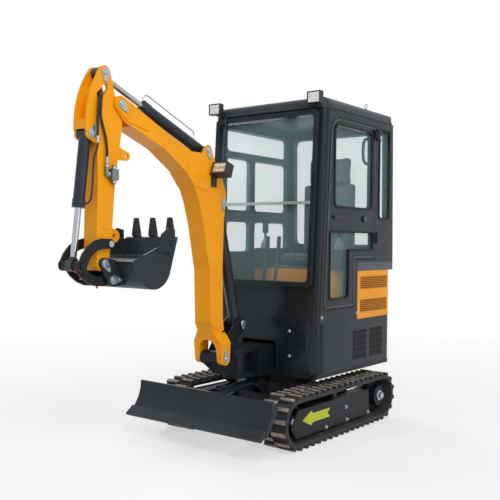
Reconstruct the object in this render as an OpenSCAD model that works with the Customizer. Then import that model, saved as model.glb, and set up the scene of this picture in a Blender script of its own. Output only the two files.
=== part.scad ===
// Compact tracked excavator with a closed cab, a dozer blade and a swinging boom.
// X points forward, Y to the driver's left, Z up. The origin is on the ground under the slew axis.

/* [Tracks] */
// Overall width across both tracks
track_overall_w = 1050; // [1000:10:1100]
// Width of one rubber track
track_w = 200; // [180:5:220]
// Distance between the front and rear end wheels
wheel_base = 1098; // [1050:2:1150]
// Height of a track from the ground to the lugs on its upper run
track_h = 342; // [330:2:360]
// Height of the rubber lugs
lug_h = 22; // [14:1:26]
// Thickness of the rubber belt under the lugs
belt_t = 22; // [16:1:26]
// Number of lugs in one row around the loop
lug_count = 44; // [36:2:50]

/* [Undercarriage] */
// Radius of the slew ring
slew_r = 230; // [200:5:250]
// Height of the underside of the revolving deck
deck_z = 395; // [385:1:410]
// Height of the top of the cross beam between the tracks
cross_beam_top = 250; // [235:1:265]
// Radius of the lower track rollers
roller_r = 42; // [36:1:46]
// Thickness of the track cover plates
cover_t = 12; // [8:1:16]

/* [Dozer blade] */
// Overall width of the blade
blade_w = 1080; // [1000:10:1140]
// Distance of the cutting edge ahead of the slew axis
blade_edge_x = 976; // [950:1:1000]
// Height of the cutting edge above the ground as parked
blade_edge_z = 153; // [120:1:180]
// Height of the mouldboard along its chord
blade_h = 220; // [200:1:240]
// Distance of the blade's hinge ahead of the slew axis
blade_pivot_x = 420; // [400:1:440]
// Height of the blade's hinge
blade_pivot_z = 190; // [175:1:205]
// Distance of each blade arm from the middle
blade_arm_y = 215; // [195:1:235]

/* [House] */
// Width of the house and cab
house_w = 940; // [900:10:980]
// Distance of the rear of the house behind the slew axis
house_rear = 770; // [740:5:800]
// Height of the top of the black lower body
sill_z = 750; // [730:1:770]
// Height of the top of the engine hood
hood_top = 1085; // [1060:1:1110]
// Distance of the hood's front face behind the slew axis
hood_front = 240; // [220:1:260]
// Thickness of the sheet panels
panel_t = 12; // [8:1:16]

/* [Cab] */
// Height of the top of the roof
roof_z = 2240; // [2180:5:2300]
// Thickness of the roof
roof_t = 72; // [60:1:90]
// Thickness of the cab's walls and door
wall_t = 40; // [30:1:50]
// Distance of the cab's front ahead of the slew axis at the floor
cab_front_low = 282; // [270:1:295]
// Distance of the cab's front ahead of the slew axis at the roof
cab_front_top = 200; // [185:1:215]
// Width of the posts beside the windows
post_w = 62; // [50:1:72]
// Thickness of the window glass
glass_t = 6; // [4:1:8]
// Distance of the door's rear edge behind the slew axis
door_rear = 490; // [470:1:500]
// Gap all round the door
door_gap = 5; // [3:0.5:8]

/* [Swing post] */
// Distance of the swing axis ahead of the slew axis
swing_x = 540; // [520:1:560]
// Radius of the swing hub
swing_hub_r = 75; // [65:1:85]
// Radius of the swing pin
swing_pin_r = 28; // [22:1:34]

/* [Boom] */
// Distance of the boom foot pin ahead of the slew axis
boom_foot_x = 765; // [750:1:780]
// Height of the boom foot pin
boom_foot_z = 550; // [535:1:565]
// Distance of the bend in the boom ahead of the slew axis
boom_bend_x = 900; // [885:1:915]
// Height of the bend in the boom
boom_bend_z = 1660; // [1630:1:1690]
// Distance of the boom's tip pin ahead of the slew axis
boom_tip_x = 1617; // [1590:1:1640]
// Height of the boom's tip pin
boom_tip_z = 2008; // [1990:1:2030]
// Width of the boom
boom_w = 128; // [120:1:140]
// Thickness of the boom's fork plates
plate_t = 12; // [10:1:14]

/* [Arm] */
// Distance of the arm's tip pin ahead of its pivot
arm_tip_dx = 104; // [90:1:120]
// Distance of the arm's tip pin below its pivot
arm_tip_dz = 849; // [820:1:880]
// Distance of the arm cylinder's pin ahead of the arm's pivot
arm_lever_dx = 101; // [92:1:110]
// Distance of the arm cylinder's pin above the arm's pivot
arm_lever_dz = 152; // [144:1:160]
// Radius of the large pins
pin_r = 17; // [14:0.5:20]

/* [Bucket] */
// Width of the bucket
bucket_w = 400; // [340:10:460]
// Radius of the bucket's rounded back
bucket_r = 127; // [118:1:134]
// Thickness of the bucket's plates
bucket_t = 10; // [8:1:14]
// Length of each tooth beyond the lip
tooth_len = 108; // [90:1:125]
// Width of each tooth at its root
tooth_w = 46; // [36:1:56]

/* [Cylinders] */
// Outside radius of the boom cylinder
boom_cyl_r = 40; // [34:1:42]
// Outside radius of the arm cylinder
arm_cyl_r = 37; // [32:1:40]
// Outside radius of the bucket cylinder
bucket_cyl_r = 34; // [30:1:38]
// Outside radius of the blade cylinder
blade_cyl_r = 32; // [28:1:36]
// Radius of the rods
rod_r = 17; // [14:0.5:20]

/* [Fits] */
// Radial clearance of a pin or rod in its hole
run_gap = 0.05; // [0.02:0.01:0.1]
// Side clearance between moving plates
side_gap = 1.5; // [1:0.1:2.5]
// Gap between a pane and its frame
pane_gap = 0.2; // [0.1:0.1:0.5]

/* [Hidden] */
$fn = 48;

PAINT = "orange";
BLACK = "#2b2d33";
RUBBER = "#3a3836";
STEEL = "silver";
GLASS = "#a8c8c0";

// Tracks and undercarriage
axle_z = track_h / 2;
lug_tip_r = track_h / 2;
belt_out_r = lug_tip_r - lug_h;
belt_in_r = belt_out_r - belt_t;
track_y = track_overall_w / 2 - track_w / 2;
beam_half = 50;
beam_low = axle_z - 62;
beam_high = axle_z + 62;
end_wheel_r = belt_in_r - 4;
carrier_r = 26;
cover_y = track_y + beam_half;

// Pins in the side view, each as [x, z]
boom_foot = [boom_foot_x, boom_foot_z];
boom_bend = [boom_bend_x, boom_bend_z];
boom_tip = [boom_tip_x, boom_tip_z];
boom_cyl_base = [swing_x, boom_foot_z + 200];
boom_cyl_eye = boom_bend + [-155, -132];
arm_cyl_base = boom_bend + [0, 176];
arm_tip = boom_tip + [arm_tip_dx, -arm_tip_dz];
arm_lever = boom_tip + [arm_lever_dx, arm_lever_dz];
bucket_cyl_base = boom_tip + [188, -177];
rocker_pin = arm_tip + [-27, 103];
link_pin = arm_tip + [159, -9];
bucket_pin = arm_tip + [-57, -87];
blade_pivot = [blade_pivot_x, blade_pivot_z];
blade_edge_p = [blade_edge_x, blade_edge_z];
blade_cyl_base = [blade_pivot_x - 95, deck_z - 57];
blade_cyl_eye = [blade_edge_x - 180, deck_z - 92];

// Widths of the working gear, from the middle outwards
boom_half = boom_w / 2;
fork_in = boom_half - plate_t;
arm_half = fork_in - side_gap;
ear_in = arm_half + side_gap;
ear_out = ear_in + plate_t + 2;
rocker_in = ear_out + side_gap;
rocker_out = rocker_in + plate_t;
eye_half = 24;
head_t = 8;

// Travel of each cylinder from the parked length, outwards and inwards
boom_cyl_out = 425;
boom_cyl_in = 70;
arm_cyl_out = 26;
arm_cyl_in = 292;
bucket_cyl_out = 30;
bucket_cyl_in = 250;
blade_cyl_out = 75;
blade_cyl_in = 40;
eye_r = 32;
neck = 38;

// Cab
house_half = house_w / 2;
roof_low = roof_z - roof_t;
cab_low = sill_z;
quarter_rear = house_rear - post_w;

// Helpers

// Extrudes a side view drawn in X and Z over a span of Y
module along_y(y0, y1) {
    translate([0, y1, 0]) rotate([90, 0, 0]) linear_extrude(y1 - y0) children();
}

// Extrudes a front view drawn in Y and Z over a span of X
module along_x(x0, x1) {
    translate([x0, 0, 0]) rotate([90, 0, 90]) linear_extrude(x1 - x0) children();
}

// Copies what is drawn on the left to the right as well
module both_sides() {
    children();
    mirror([0, 1, 0]) children();
}

// Depth by which a bar's straight edges cut into its round ends
graze = 0.15;

// Flat bar with round ends of two radii
module bar_2d(p, q, rp, rq) {
    run = q - p;
    turn = atan2(run[1], run[0]);
    open = acos((rp - rq) / norm(run));
    function edge(c, r, a) = c + r * [cos(a), sin(a)];
    polygon([
        edge(p, rp - graze, turn + open), edge(p, rp - graze, turn - open),
        edge(q, rq - graze, turn - open), edge(q, rq - graze, turn + open)
    ]);
    translate(p) circle(rp);
    translate(q) circle(rq);
}

// Run of bars through points given as [x, z, radius]
module chain_2d(points) {
    for (i = [0 : len(points) - 2]) {
        a = points[i];
        b = points[i + 1];
        bar_2d([a[0], a[1]], [b[0], b[1]], a[2], b[2]);
    }
}

function spot(p, r) = [p[0], p[1], r];

// Spots of one radius along a bow between two points, pulled towards a third
function bow(a, pull, b, r) =
    [for (i = [0 : bow_steps]) let (t = i / bow_steps)
        spot((1 - t) * (1 - t) * a + 2 * t * (1 - t) * pull + t * t * b, r)];
bow_steps = 5;

// Points on an arc from one angle to another
function arc(c, r, a0, a1) =
    [for (i = [0 : arc_steps]) let (a = a0 + (a1 - a0) * i / arc_steps) c + r * [cos(a), sin(a)]];
arc_steps = 9;

// Teardrop plates that lock a pin on both sides, at a distance from the middle
keeper_r = 24;
keeper_len = 44;
keeper_t = 6;
module keepers(p, turn, face) {
    both_sides() along_y(face, face + keeper_t)
        bar_2d(p, p + keeper_len * [cos(turn), sin(turn)], keeper_r, keeper_r / 2);
}

// Square work lamp that shines along X: housing from its lower rear corner, with a sunk lens
module lamp(size) {
    rim = 6;
    lens_depth = 5;
    fin_t = 5;
    difference() {
        cube(size);
        translate([size[0] - lens_depth, rim, rim]) cube([lens_depth + 1, size[1] - 2 * rim, size[2] - 2 * rim]);
        for (y = [2 * rim : 2 * fin_t : size[1] - 2 * rim]) translate([-1, y, -1])
            cube([size[0] / 3, fin_t, size[2] + 2]);
    }
}

// Round bar along Y through a point of the side view
module round_y(p, r, y0, y1) {
    along_y(y0, y1) translate(p) circle(r);
}

// Rectangle with round corners, from one corner
module soft_rect(size, r) {
    translate([r, 0]) square([size[0] - 2 * r, size[1]]);
    translate([0, r]) square([size[0], size[1] - 2 * r]);
    for (x = [r, size[0] - r], y = [r, size[1] - r]) translate([x, y]) circle(r);
}

// Turns a piece drawn along +X from the origin so that it runs from one pin to another
module from_to(p, q) {
    run = q - p;
    translate([p[0], 0, p[1]]) rotate([0, -atan2(run[1], run[0]), 0]) children();
}

// Cylinder barrel from its base pin, with the bore that its rod slides in
module barrel(length, r, half) {
    floor_x = eye_r + 14;
    difference() {
        union() {
            rotate([90, 0, 0]) cylinder(r = eye_r, h = 2 * half, center = true);
            translate([eye_r / 2, 0, 0]) rotate([0, 90, 0]) cylinder(r = r - 3, h = length - eye_r / 2);
            translate([length - 45, 0, 0]) rotate([0, 90, 0]) cylinder(r = r, h = 45);
        }
        rotate([90, 0, 0]) cylinder(r = pin_r + run_gap, h = 2 * half + 2, center = true);
        translate([floor_x, 0, 0]) rotate([0, 90, 0]) cylinder(r = rod_r + run_gap, h = length);
    }
}

// Rod with its eye and the pin that fills the eye, drawn from the eye back into the barrel
module rod(length, half) {
    rotate([90, 0, 0]) cylinder(r = eye_r, h = 2 * half, center = true);
    translate([-neck, 0, 0]) rotate([0, 90, 0]) cylinder(r = rod_r + 6, h = neck);
    translate([-length, 0, 0]) rotate([0, 90, 0]) cylinder(r = rod_r, h = length - 5);
}

// Point and outward angle at a distance along a track loop of a given end radius
function loop_len(r) = 2 * wheel_base + 2 * PI * r;
function loop_at(s, r) =
    let (arc = PI * r, half = wheel_base / 2)
    s < wheel_base ? [half - s, -r, -90] :
    s < wheel_base + arc ? let (a = -90 - (s - wheel_base) / r * 180 / PI)
        [-half + r * cos(a), r * sin(a), a] :
    s < 2 * wheel_base + arc ? [s - wheel_base - arc - half, r, 90] :
        let (a = 90 - (s - 2 * wheel_base - arc) / r * 180 / PI)
        [half + r * cos(a), r * sin(a), a];
function loop_out(s, r, h) = let (p = loop_at(s, r)) [p[0] + h * cos(p[2]), p[1] + h * sin(p[2])];

// Side view of one half of a track, with its lugs as teeth around the belt
module track_2d(shift) {
    total = loop_len(belt_out_r);
    pitch = total / lug_count;
    inner = loop_len(belt_in_r);
    steps = 2 * lug_count;
    outline = [
        for (i = [0 : lug_count - 1])
            for (k = [[0.06, 0], [0.16, lug_h], [0.44, lug_h], [0.54, 0], [0.8, 0]])
                loop_out(((i + k[0] + shift) * pitch) % total, belt_out_r, k[1])
    ];
    hole = [for (i = [0 : steps - 1]) loop_out(i * inner / steps, belt_in_r, 0)];
    difference() {
        polygon(outline);
        polygon(hole);
    }
}

module track() {
    translate([0, 0, axle_z]) {
        along_y(track_y, track_y + track_w / 2) track_2d(0);
        along_y(track_y - track_w / 2, track_y) track_2d(0.5);
    }
}

module track_left() {
    color(RUBBER) track();
}

module track_right() {
    color(RUBBER) mirror([0, 1, 0]) track();
}

// Track frames, cross beam, slew tower and the blade's hinge ears, as one weldment
module chassis() {
    tower_low = cross_beam_top - 60;
    color(BLACK) difference() {
        union() {
            both_sides() {
                along_y(track_y - beam_half, track_y + beam_half)
                    translate([-wheel_base / 2 + end_wheel_r + 20, beam_low])
                    soft_rect([wheel_base - 2 * end_wheel_r - 40, beam_high - beam_low], 16);
                for (y = [track_y - beam_half, track_y + beam_half - 20]) along_y(y, y + 20)
                    bar_2d([wheel_base / 2 - end_wheel_r - 60, axle_z], [wheel_base / 2, axle_z], 58, 40);
                along_y(track_y - beam_half, track_y - beam_half + 30)
                    bar_2d([-wheel_base / 2 + end_wheel_r + 60, axle_z], [-wheel_base / 2, axle_z], 62, 80);
                for (y = [blade_arm_y - 34, blade_arm_y + 22]) along_y(y, y + 12)
                    bar_2d([blade_pivot_x - 190, cross_beam_top - 45], blade_pivot, 44, 32);
            }
            along_y(-track_y + beam_half, track_y - beam_half) polygon([
                [-330, beam_low + 10], [330, beam_low + 10],
                [270, cross_beam_top], [-270, cross_beam_top]
            ]);
            translate([0, 0, tower_low]) cylinder(r = slew_r + 15, h = deck_z - 65 - tower_low);
            for (side = [-1, 1]) along_y(side * 44 - 8, side * 44 + 8)
                bar_2d([slew_r - 40, cross_beam_top], blade_cyl_base, 46, 30);
        }
        along_y(-track_y, track_y) translate([0, beam_low - 60]) circle(r = 125);
        for (x = [-330, 0, 330])
            both_sides() round_y([x, belt_bottom() + roller_r], roller_r + 6, track_y - 36, track_y + 36);
    }
    color(STEEL) {
        both_sides() round_y(blade_pivot, pin_r, blade_arm_y - 34 - head_t, blade_arm_y + 34 + head_t);
        round_y(blade_cyl_base, pin_r, -52 - head_t, 52 + head_t);
    }
}

function belt_bottom() = axle_z - belt_in_r;
function belt_top() = axle_z + belt_in_r;

// Flat outer plate with its pointed front end
module cover() {
    color(BLACK) along_y(cover_y, cover_y + cover_t) polygon([
        [-wheel_base / 2 + 150, beam_low - 42], [wheel_base / 2 - 20, beam_low - 44],
        [wheel_base / 2 + 38, axle_z - 35], [wheel_base / 2 - 32, beam_high + 8],
        [-wheel_base / 2 + 162, beam_high + 4]
    ]);
}

module track_cover_left() {
    cover();
}

module track_cover_right() {
    mirror([0, 1, 0]) cover();
}

// Toothed drive wheels with their hub motors
module sprockets() {
    teeth = 12;
    color(BLACK) both_sides() translate([-wheel_base / 2, 0, axle_z]) {
        along_y(track_y - 16, track_y + 16) difference() {
            circle(end_wheel_r);
            for (i = [0 : teeth - 1]) rotate(i * 360 / teeth) translate([end_wheel_r + 4, 0]) circle(16);
        }
        round_y([0, 0], 78, track_y - beam_half + 30, track_y - 16);
        round_y([0, 0], 72, track_y + 16, track_y + beam_half + cover_t);
    }
}

module idlers() {
    color(BLACK) both_sides() translate([wheel_base / 2, 0, axle_z]) difference() {
        union() {
            round_y([0, 0], end_wheel_r - 14, track_y - 28, track_y + 28);
            round_y([0, 0], end_wheel_r, track_y - 12, track_y + 12);
        }
        for (side = [-1, 1]) along_y(side * 20 - 10 + track_y, side * 20 + 10 + track_y) difference() {
            circle(end_wheel_r - 32);
            circle(44);
        }
    }
}

// Lower track rollers and one carrier roller under the upper run, on each side
module rollers() {
    color(BLACK) both_sides() {
        for (x = [-330, 0, 330]) {
            round_y([x, belt_bottom() + roller_r], roller_r - 8, track_y - 36, track_y + 36);
            for (side = [-1, 1]) round_y(
                [x, belt_bottom() + roller_r - 0.5], roller_r - 1,
                track_y + side * 22 - 9, track_y + side * 22 + 9);
        }
        round_y([40, belt_top() - carrier_r - 1], carrier_r, track_y - 40, track_y + 40);
        translate([40 - 14, track_y - 14, beam_high])
            cube([28, 28, belt_top() - 2 * carrier_r - beam_high + 6]);
    }
}

module slew_ring() {
    color(STEEL) translate([0, 0, deck_z - 65]) difference() {
        cylinder(r = slew_r, h = 64);
        translate([0, 0, -1]) cylinder(r = slew_r - 60, h = 66);
    }
}

// Mouldboard: lean of its chord, top edge, centre of its curve and plate
blade_lean = 32;
board_t = 14;
blade_top = blade_edge_p + blade_h * [-sin(blade_lean), cos(blade_lean)];
blade_mid = (blade_top + blade_edge_p) / 2 + blade_h * sqrt(3) / 2 * [cos(blade_lean), sin(blade_lean)];

// Wear strip on the flat seat along the lower edge: its top corner and its two directions
strip_h = 65;
strip_t = 14;
edge_turn = atan2(blade_edge_p[1] - blade_mid[1], blade_edge_p[0] - blade_mid[0]);
strip_turn = edge_turn - strip_h / blade_h * 180 / PI;
strip_top = blade_mid + blade_h * [cos(strip_turn), sin(strip_turn)];
strip_down = (blade_edge_p - strip_top) / norm(blade_edge_p - strip_top);
strip_out = [-strip_down[1], strip_down[0]];

// Wedge of the curve that the mouldboard takes up, from its edge to just past its top
module board_span_2d() {
    reach = 2 * blade_h;
    overrun = 4;
    function turn(p) = let (v = p - blade_mid) atan2(v[1], v[0]);
    low = edge_turn + 360;
    high = turn(blade_top) + (turn(blade_top) < 0 ? 360 : 0) - overrun;
    polygon(concat([blade_mid], arc(blade_mid, reach, high, low)));
}

// Dozer blade weldment: curved mouldboard, end plates, two arms and the cylinder's ears
module blade() {
    curve_r = blade_h;
    top = blade_top;
    mid = blade_mid;
    arm_end = blade_edge_p + [-110, 100];
    color(BLACK) difference() {
        union() {
            along_y(-blade_w / 2, blade_w / 2) intersection() {
                difference() {
                    translate(mid) circle(curve_r + board_t);
                    translate(mid) circle(curve_r);
                }
                board_span_2d();
            }
            along_y(-blade_w / 2, blade_w / 2) polygon([
                strip_top, blade_edge_p,
                blade_edge_p - board_t / 2 * strip_out, strip_top - board_t / 2 * strip_out
            ]);
            for (y = [-blade_w / 2, blade_w / 2 - board_t]) along_y(y, y + board_t) difference() {
                polygon([top, blade_edge_p, blade_edge_p + [-70, 10], top + [-60, -30], top + [-40, 0]]);
                translate(mid) circle(curve_r + 1);
            }
            both_sides() along_y(blade_arm_y - 20, blade_arm_y + 20) difference() {
                chain_2d([spot(blade_pivot, 34), spot(blade_pivot + [160, 12], 30), spot(arm_end, 40)]);
                translate(mid) circle(curve_r + 1);
            }
            along_y(-blade_arm_y, blade_arm_y) difference() {
                bar_2d(arm_end, arm_end + [10, 40], 26, 26);
                translate(mid) circle(curve_r + 1);
            }
            for (side = [-1, 1]) along_y(side * 44 - 8, side * 44 + 8) difference() {
                bar_2d(blade_cyl_eye, arm_end + [10, 30], 30, 40);
                translate(mid) circle(curve_r + 1);
            }
        }
        both_sides() round_y(blade_pivot, pin_r + run_gap, blade_arm_y - 30, blade_arm_y + 30);
        along_y(-34, 34) translate(blade_cyl_eye) circle(56);
        along_y(-blade_w / 2 - 1, blade_w / 2 + 1) polygon([
            strip_top - 2 * strip_down, blade_edge_p + strip_t * strip_down,
            blade_edge_p + strip_t * (strip_down + strip_out), strip_top - 2 * strip_down + strip_t * strip_out
        ]);
    }
}

// Bolt-on wear strip along the cutting edge
module blade_edge() {
    overhang = 12;
    low_p = blade_edge_p + overhang * strip_down;
    color(STEEL) along_y(-blade_w / 2, blade_w / 2)
        polygon([strip_top, low_p, low_p + strip_t * strip_out, strip_top + strip_t * strip_out]);
}

module blade_barrel() {
    span = norm(blade_cyl_eye - blade_cyl_base);
    color(BLACK) from_to(blade_cyl_base, blade_cyl_eye)
        barrel(span - blade_cyl_in - neck - 10, blade_cyl_r, 34);
}

module blade_rod() {
    color(STEEL) from_to(blade_cyl_eye, 2 * blade_cyl_eye - blade_cyl_base) rod(blade_cyl_out + 150, eye_half);
}

// Revolving frame: floor plate, nose girder and the two lugs that carry the swing pin
module deck() {
    lug_t = 32;
    nose_top = boom_foot_z + 40;
    nose_half = 110;
    color(BLACK) {
        translate([-house_rear + 60, -house_half + 2, deck_z])
            cube([house_rear - 60 + cab_front_low - 10, house_w - 4, 28]);
        difference() {
            union() {
                for (z = [deck_z, nose_top - lug_t]) translate([0, 0, z]) linear_extrude(lug_t) {
                    bar_2d([cab_front_low - 60, 0], [swing_x, 0], nose_half, swing_hub_r);
                }
                translate([cab_front_low - 160, -nose_half, deck_z])
                    cube([swing_x - swing_hub_r - 35 - cab_front_low + 160, 2 * nose_half, nose_top - deck_z]);
                translate([swing_x, 0, deck_z]) cylinder(r = swing_pin_r, h = nose_top - deck_z + 12);
                translate([swing_x, 0, nose_top]) cylinder(r = swing_pin_r + 14, h = 12);
            }
            translate([swing_x, 0, deck_z + lug_t]) difference() {
                cylinder(r = swing_hub_r + 12, h = nose_top - deck_z - 2 * lug_t);
                translate([0, 0, -1]) cylinder(r = swing_pin_r, h = nose_top);
            }
        }
    }
}

// Skirt panels round the lower body
body_corner = 90;
module lower_body() {
    x0 = -house_rear + 150;
    x1 = cab_front_low - 2;
    z0 = deck_z + 28;
    vent_w = 170;
    color(BLACK) difference() {
        translate([0, 0, z0]) linear_extrude(sill_z - z0) intersection() {
            difference() {
                translate([x1 - 2 * house_rear, -house_half]) soft_rect([2 * house_rear, house_w], body_corner);
                translate([x1 - panel_t - 2 * house_rear, -house_half + panel_t])
                    soft_rect([2 * house_rear, house_w - 2 * panel_t], body_corner - panel_t);
            }
            translate([x0, -house_half]) square([x1 - x0, house_w]);
        }
        for (x = [x0 + 10, x0 + 250]) for (i = [0 : 4])
            translate([x, house_half - panel_t - 1, z0 + 55 + i * 42]) cube([vent_w, panel_t + 2, 22]);
        translate([x1 - panel_t - 1, -140, z0 - 1]) cube([panel_t + 2, 280, boom_foot_z + 70 - z0]);
    }
}

// Heavy casting that closes the rear of the lower body
module counterweight() {
    z0 = deck_z + 28;
    corner = 90;
    heel_r = 70;
    color(BLACK) intersection() {
        translate([0, 0, z0]) linear_extrude(sill_z - z0) intersection() {
            translate([-house_rear, -house_half]) soft_rect([2 * house_rear, house_w], corner);
            translate([-house_rear, -house_half]) square([150, house_w]);
        }
        along_y(-house_half, house_half) polygon(concat(
            [[-house_rear + 150, z0], [-house_rear + 150, sill_z], [-house_rear, sill_z]],
            arc([-house_rear, z0] + [heel_r, heel_r], heel_r, 180, 270)
        ));
    }
}

// Engine hood with its two grille openings on the left
module hood() {
    x0 = -house_rear + 8;
    x1 = -hood_front;
    corner = 80;
    crown = 70;
    sunk = 4;
    slot_w = 26;
    slot_h = 84;
    slot_pitch = 40;
    color(PAINT) difference() {
        intersection() {
            translate([0, 0, sill_z]) linear_extrude(hood_top - sill_z) intersection() {
                translate([x0, -house_half]) soft_rect([2 * (x1 - x0), house_w], corner);
                translate([x0, -house_half]) square([x1 - x0, house_w]);
            }
            along_y(-house_half, house_half) polygon(concat(
                [[x0, sill_z], [x1, sill_z], [x1, hood_top]],
                arc([x0 + crown, hood_top - crown], crown, 90, 180)
            ));
        }
        translate([x0 + panel_t, -house_half + panel_t, sill_z - 1])
            cube([x1 - x0 - 2 * panel_t, house_w - 2 * panel_t, hood_top - sill_z - crown]);
        for (z = [sill_z + 46, hood_top - 127]) {
            both_sides() along_y(house_half - sunk, house_half + 1) translate([x0 + corner, z - 5])
                soft_rect([x1 - x0 - corner - 40, slot_h + 10], 12);
            for (i = [0 : 9]) translate([x0 + corner + 14 + i * slot_pitch, house_half - panel_t - 1, z])
                cube([slot_w, panel_t + 2, slot_h]);
        }
    }
}

module engine() {
    color("dimgray") translate([-house_rear + 170, -280, deck_z + 28])
        cube([house_rear - 170 - hood_front - 60, 520, hood_top - deck_z - 130]);
}

// Grey ledge between the hood and the upper cab
module cab_base() {
    color("gray") difference() {
        translate([-house_rear, -house_half, hood_top]) cube([house_rear - hood_front, house_w, 60]);
        translate([-house_rear + 60, -house_half + 60, hood_top + 20])
            cube([house_rear - hood_front, house_w - 120, 60]);
    }
}

floor_t = 20;

module cab_floor() {
    color(BLACK) translate([-hood_front, -inner_half, sill_z])
        cube([hood_front + cab_front_low - wall_t - 8, 2 * inner_half, floor_t]);
}

upper_z = hood_top + 60;
function front_at(z) = cab_front_low + (cab_front_top - cab_front_low) * (z - cab_low) / (roof_low - cab_low);

// Side view of the cab between the sill and the roof
module cab_side_2d() {
    polygon([
        [front_at(cab_low), cab_low], [front_at(roof_low), roof_low],
        [-house_rear + 20, roof_low], [-house_rear, upper_z],
        [-hood_front, upper_z], [-hood_front, cab_low]
    ]);
}

// Doorway in the left wall, wide above the hood and narrow below it
door_corner = 110;
module doorway_2d(grow) {
    top = roof_low - 45 + grow;
    low = cab_low + 85 - grow;
    step = upper_z + 20 - grow;
    r = door_corner + grow;
    centre_z = top - r;
    polygon(concat(
        [[front_at(low) - post_w + grow, low]],
        arc([front_at(centre_z) - post_w + grow - r, centre_z], r, 0, 90),
        [
            [-door_rear - grow, top], [-door_rear - grow, step],
            [-hood_front + 50 - grow, step], [-hood_front + 50 - grow, low]
        ]
    ));
}

module quarter_2d(shrink) {
    low = upper_z + 320;
    translate([-quarter_rear + 10 + shrink, low + shrink])
        soft_rect([quarter_rear - door_rear - post_w - 2 * shrink, roof_low - 60 - low - 2 * shrink], 25);
}

// Right side: one pane under the roof, two sliding panes below it and two low ones under the waist rail
window_bar = 46;
waist_z = upper_z + 288;
waist_h = 82;
module right_windows_2d(shrink) {
    rear = -quarter_rear + 30;
    wide = quarter_rear + front_at(roof_low) - post_w - 60;
    top = roof_low - 60;
    split = rear + 0.6 * wide;
    bar_z = top - 205;
    rows = [[upper_z + 60, waist_z], [waist_z + waist_h, bar_z]];
    columns = [[rear, split - window_bar / 2], [split + window_bar / 2, rear + wide]];
    module pane(x, z) {
        translate([x[0] + shrink, z[0] + shrink])
            soft_rect([x[1] - x[0] - 2 * shrink, z[1] - z[0] - 2 * shrink], 34);
    }
    pane([rear, rear + wide], [bar_z + window_bar, top]);
    for (z = rows) for (x = columns) pane(x, z);
}

hinge_x = -door_rear + 10;
hinge_y = house_half + 18;
hinge_r = 11;
hinge_pin_r = 6;
hinge_h = 50;
hinge_at = [upper_z + 150, roof_low - 130];

// What lies behind the round front posts, which lean back with the windscreen
module behind_posts() {
    post_r = wall_t - 0.5;
    low = [front_at(cab_low) - wall_t, cab_low];
    high = [front_at(roof_low) - wall_t, roof_low];
    along_y(inner_half, house_half)
        polygon([[-2 * house_rear, cab_low], low, high, [-2 * house_rear, roof_low]]);
    translate([0, inner_half, 0]) from_to(low - (high - low) / 10, high)
        rotate([0, 90, 0]) cylinder(r = post_r, h = 1.2 * norm(high - low));
}

module cab_left() {
    color(BLACK) {
        intersection() {
            along_y(house_half - wall_t, house_half) difference() {
                cab_side_2d();
                doorway_2d(0);
                quarter_2d(0);
            }
            behind_posts();
        }
        for (z = hinge_at) {
            translate([hinge_x, hinge_y, z - 14]) cylinder(r = hinge_pin_r, h = hinge_h + 28);
            for (dz = [-14, hinge_h + side_gap]) translate([0, 0, z + dz]) {
                translate([hinge_x, hinge_y, 0]) cylinder(r = hinge_r, h = 14 - side_gap);
                translate([-door_rear - 45, house_half, 0]) cube([45 + 10, 18, 14 - side_gap]);
            }
        }
    }
}

module cab_right() {
    color(BLACK) mirror([0, 1, 0]) intersection() {
        along_y(house_half - wall_t, house_half) difference() {
            cab_side_2d();
            right_windows_2d(0);
        }
        behind_posts();
    }
}

inner_half = house_half - wall_t;
sill_top = cab_low + 270;

// Front of the cab: lower panel, side posts and header, open where the windscreen goes
screen_out = 38;
screen_frame = 32;
transom_z = upper_z + 390;
transom_h = 14;

// Band across the cab that leans with its front, between two distances ahead of the front face
module front_band(from, to, half) {
    along_y(-half, half) polygon([
        [front_at(cab_low) + from, cab_low], [front_at(roof_low) + from, roof_low],
        [front_at(roof_low) + to, roof_low], [front_at(cab_low) + to, cab_low]
    ]);
}

module cab_front() {
    reach = 2 * cab_front_low;
    color(BLACK) {
        difference() {
            union() {
                front_band(-wall_t, 0, inner_half);
                intersection() {
                    front_band(-wall_t / 2, screen_out, inner_half);
                    along_x(0, reach) front_opening_2d(-screen_frame);
                }
            }
            along_x(0, reach) front_opening_2d(0);
        }
        intersection() {
            front_band(-wall_t / 2, screen_out - 8, inner_half);
            translate([0, -inner_half + 25, transom_z]) cube([reach, 2 * inner_half - 50, transom_h]);
        }
    }
}

module front_opening_2d(shrink) {
    wide = 2 * inner_half - 60 - 2 * shrink;
    translate([-wide / 2, sill_top + shrink]) soft_rect([wide, roof_low - 50 - sill_top - 2 * shrink], 30);
}

module windscreen() {
    reach = 2 * cab_front_low;
    color(GLASS) difference() {
        intersection() {
            front_band(-10 - glass_t, -10, inner_half);
            along_x(0, reach) front_opening_2d(pane_gap);
        }
        translate([0, -inner_half, transom_z - pane_gap]) cube([reach, 2 * inner_half, transom_h + 2 * pane_gap]);
    }
}

module cab_rear() {
    color(BLACK) difference() {
        along_y(-inner_half, inner_half) polygon([
            [-house_rear, upper_z], [-house_rear + 20, roof_low],
            [-house_rear + 20 + wall_t, roof_low], [-house_rear + wall_t, upper_z]
        ]);
        along_x(-house_rear - 1, -house_rear + 2 * wall_t + 20) rear_opening_2d(0);
    }
}

module rear_opening_2d(shrink) {
    low = upper_z + 120;
    translate([-inner_half + 30 + shrink, low + shrink])
        soft_rect([2 * inner_half - 60 - 2 * shrink, roof_low - 60 - low - 2 * shrink], 45);
}

module rear_glass() {
    color(GLASS) intersection() {
        along_y(-inner_half, inner_half) polygon([
            [-house_rear + 16, upper_z], [-house_rear + 36, roof_low],
            [-house_rear + 36 + glass_t, roof_low], [-house_rear + 16 + glass_t, upper_z]
        ]);
        along_x(-house_rear - 1, -house_rear + 2 * wall_t + 20) rear_opening_2d(pane_gap);
    }
}

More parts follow.
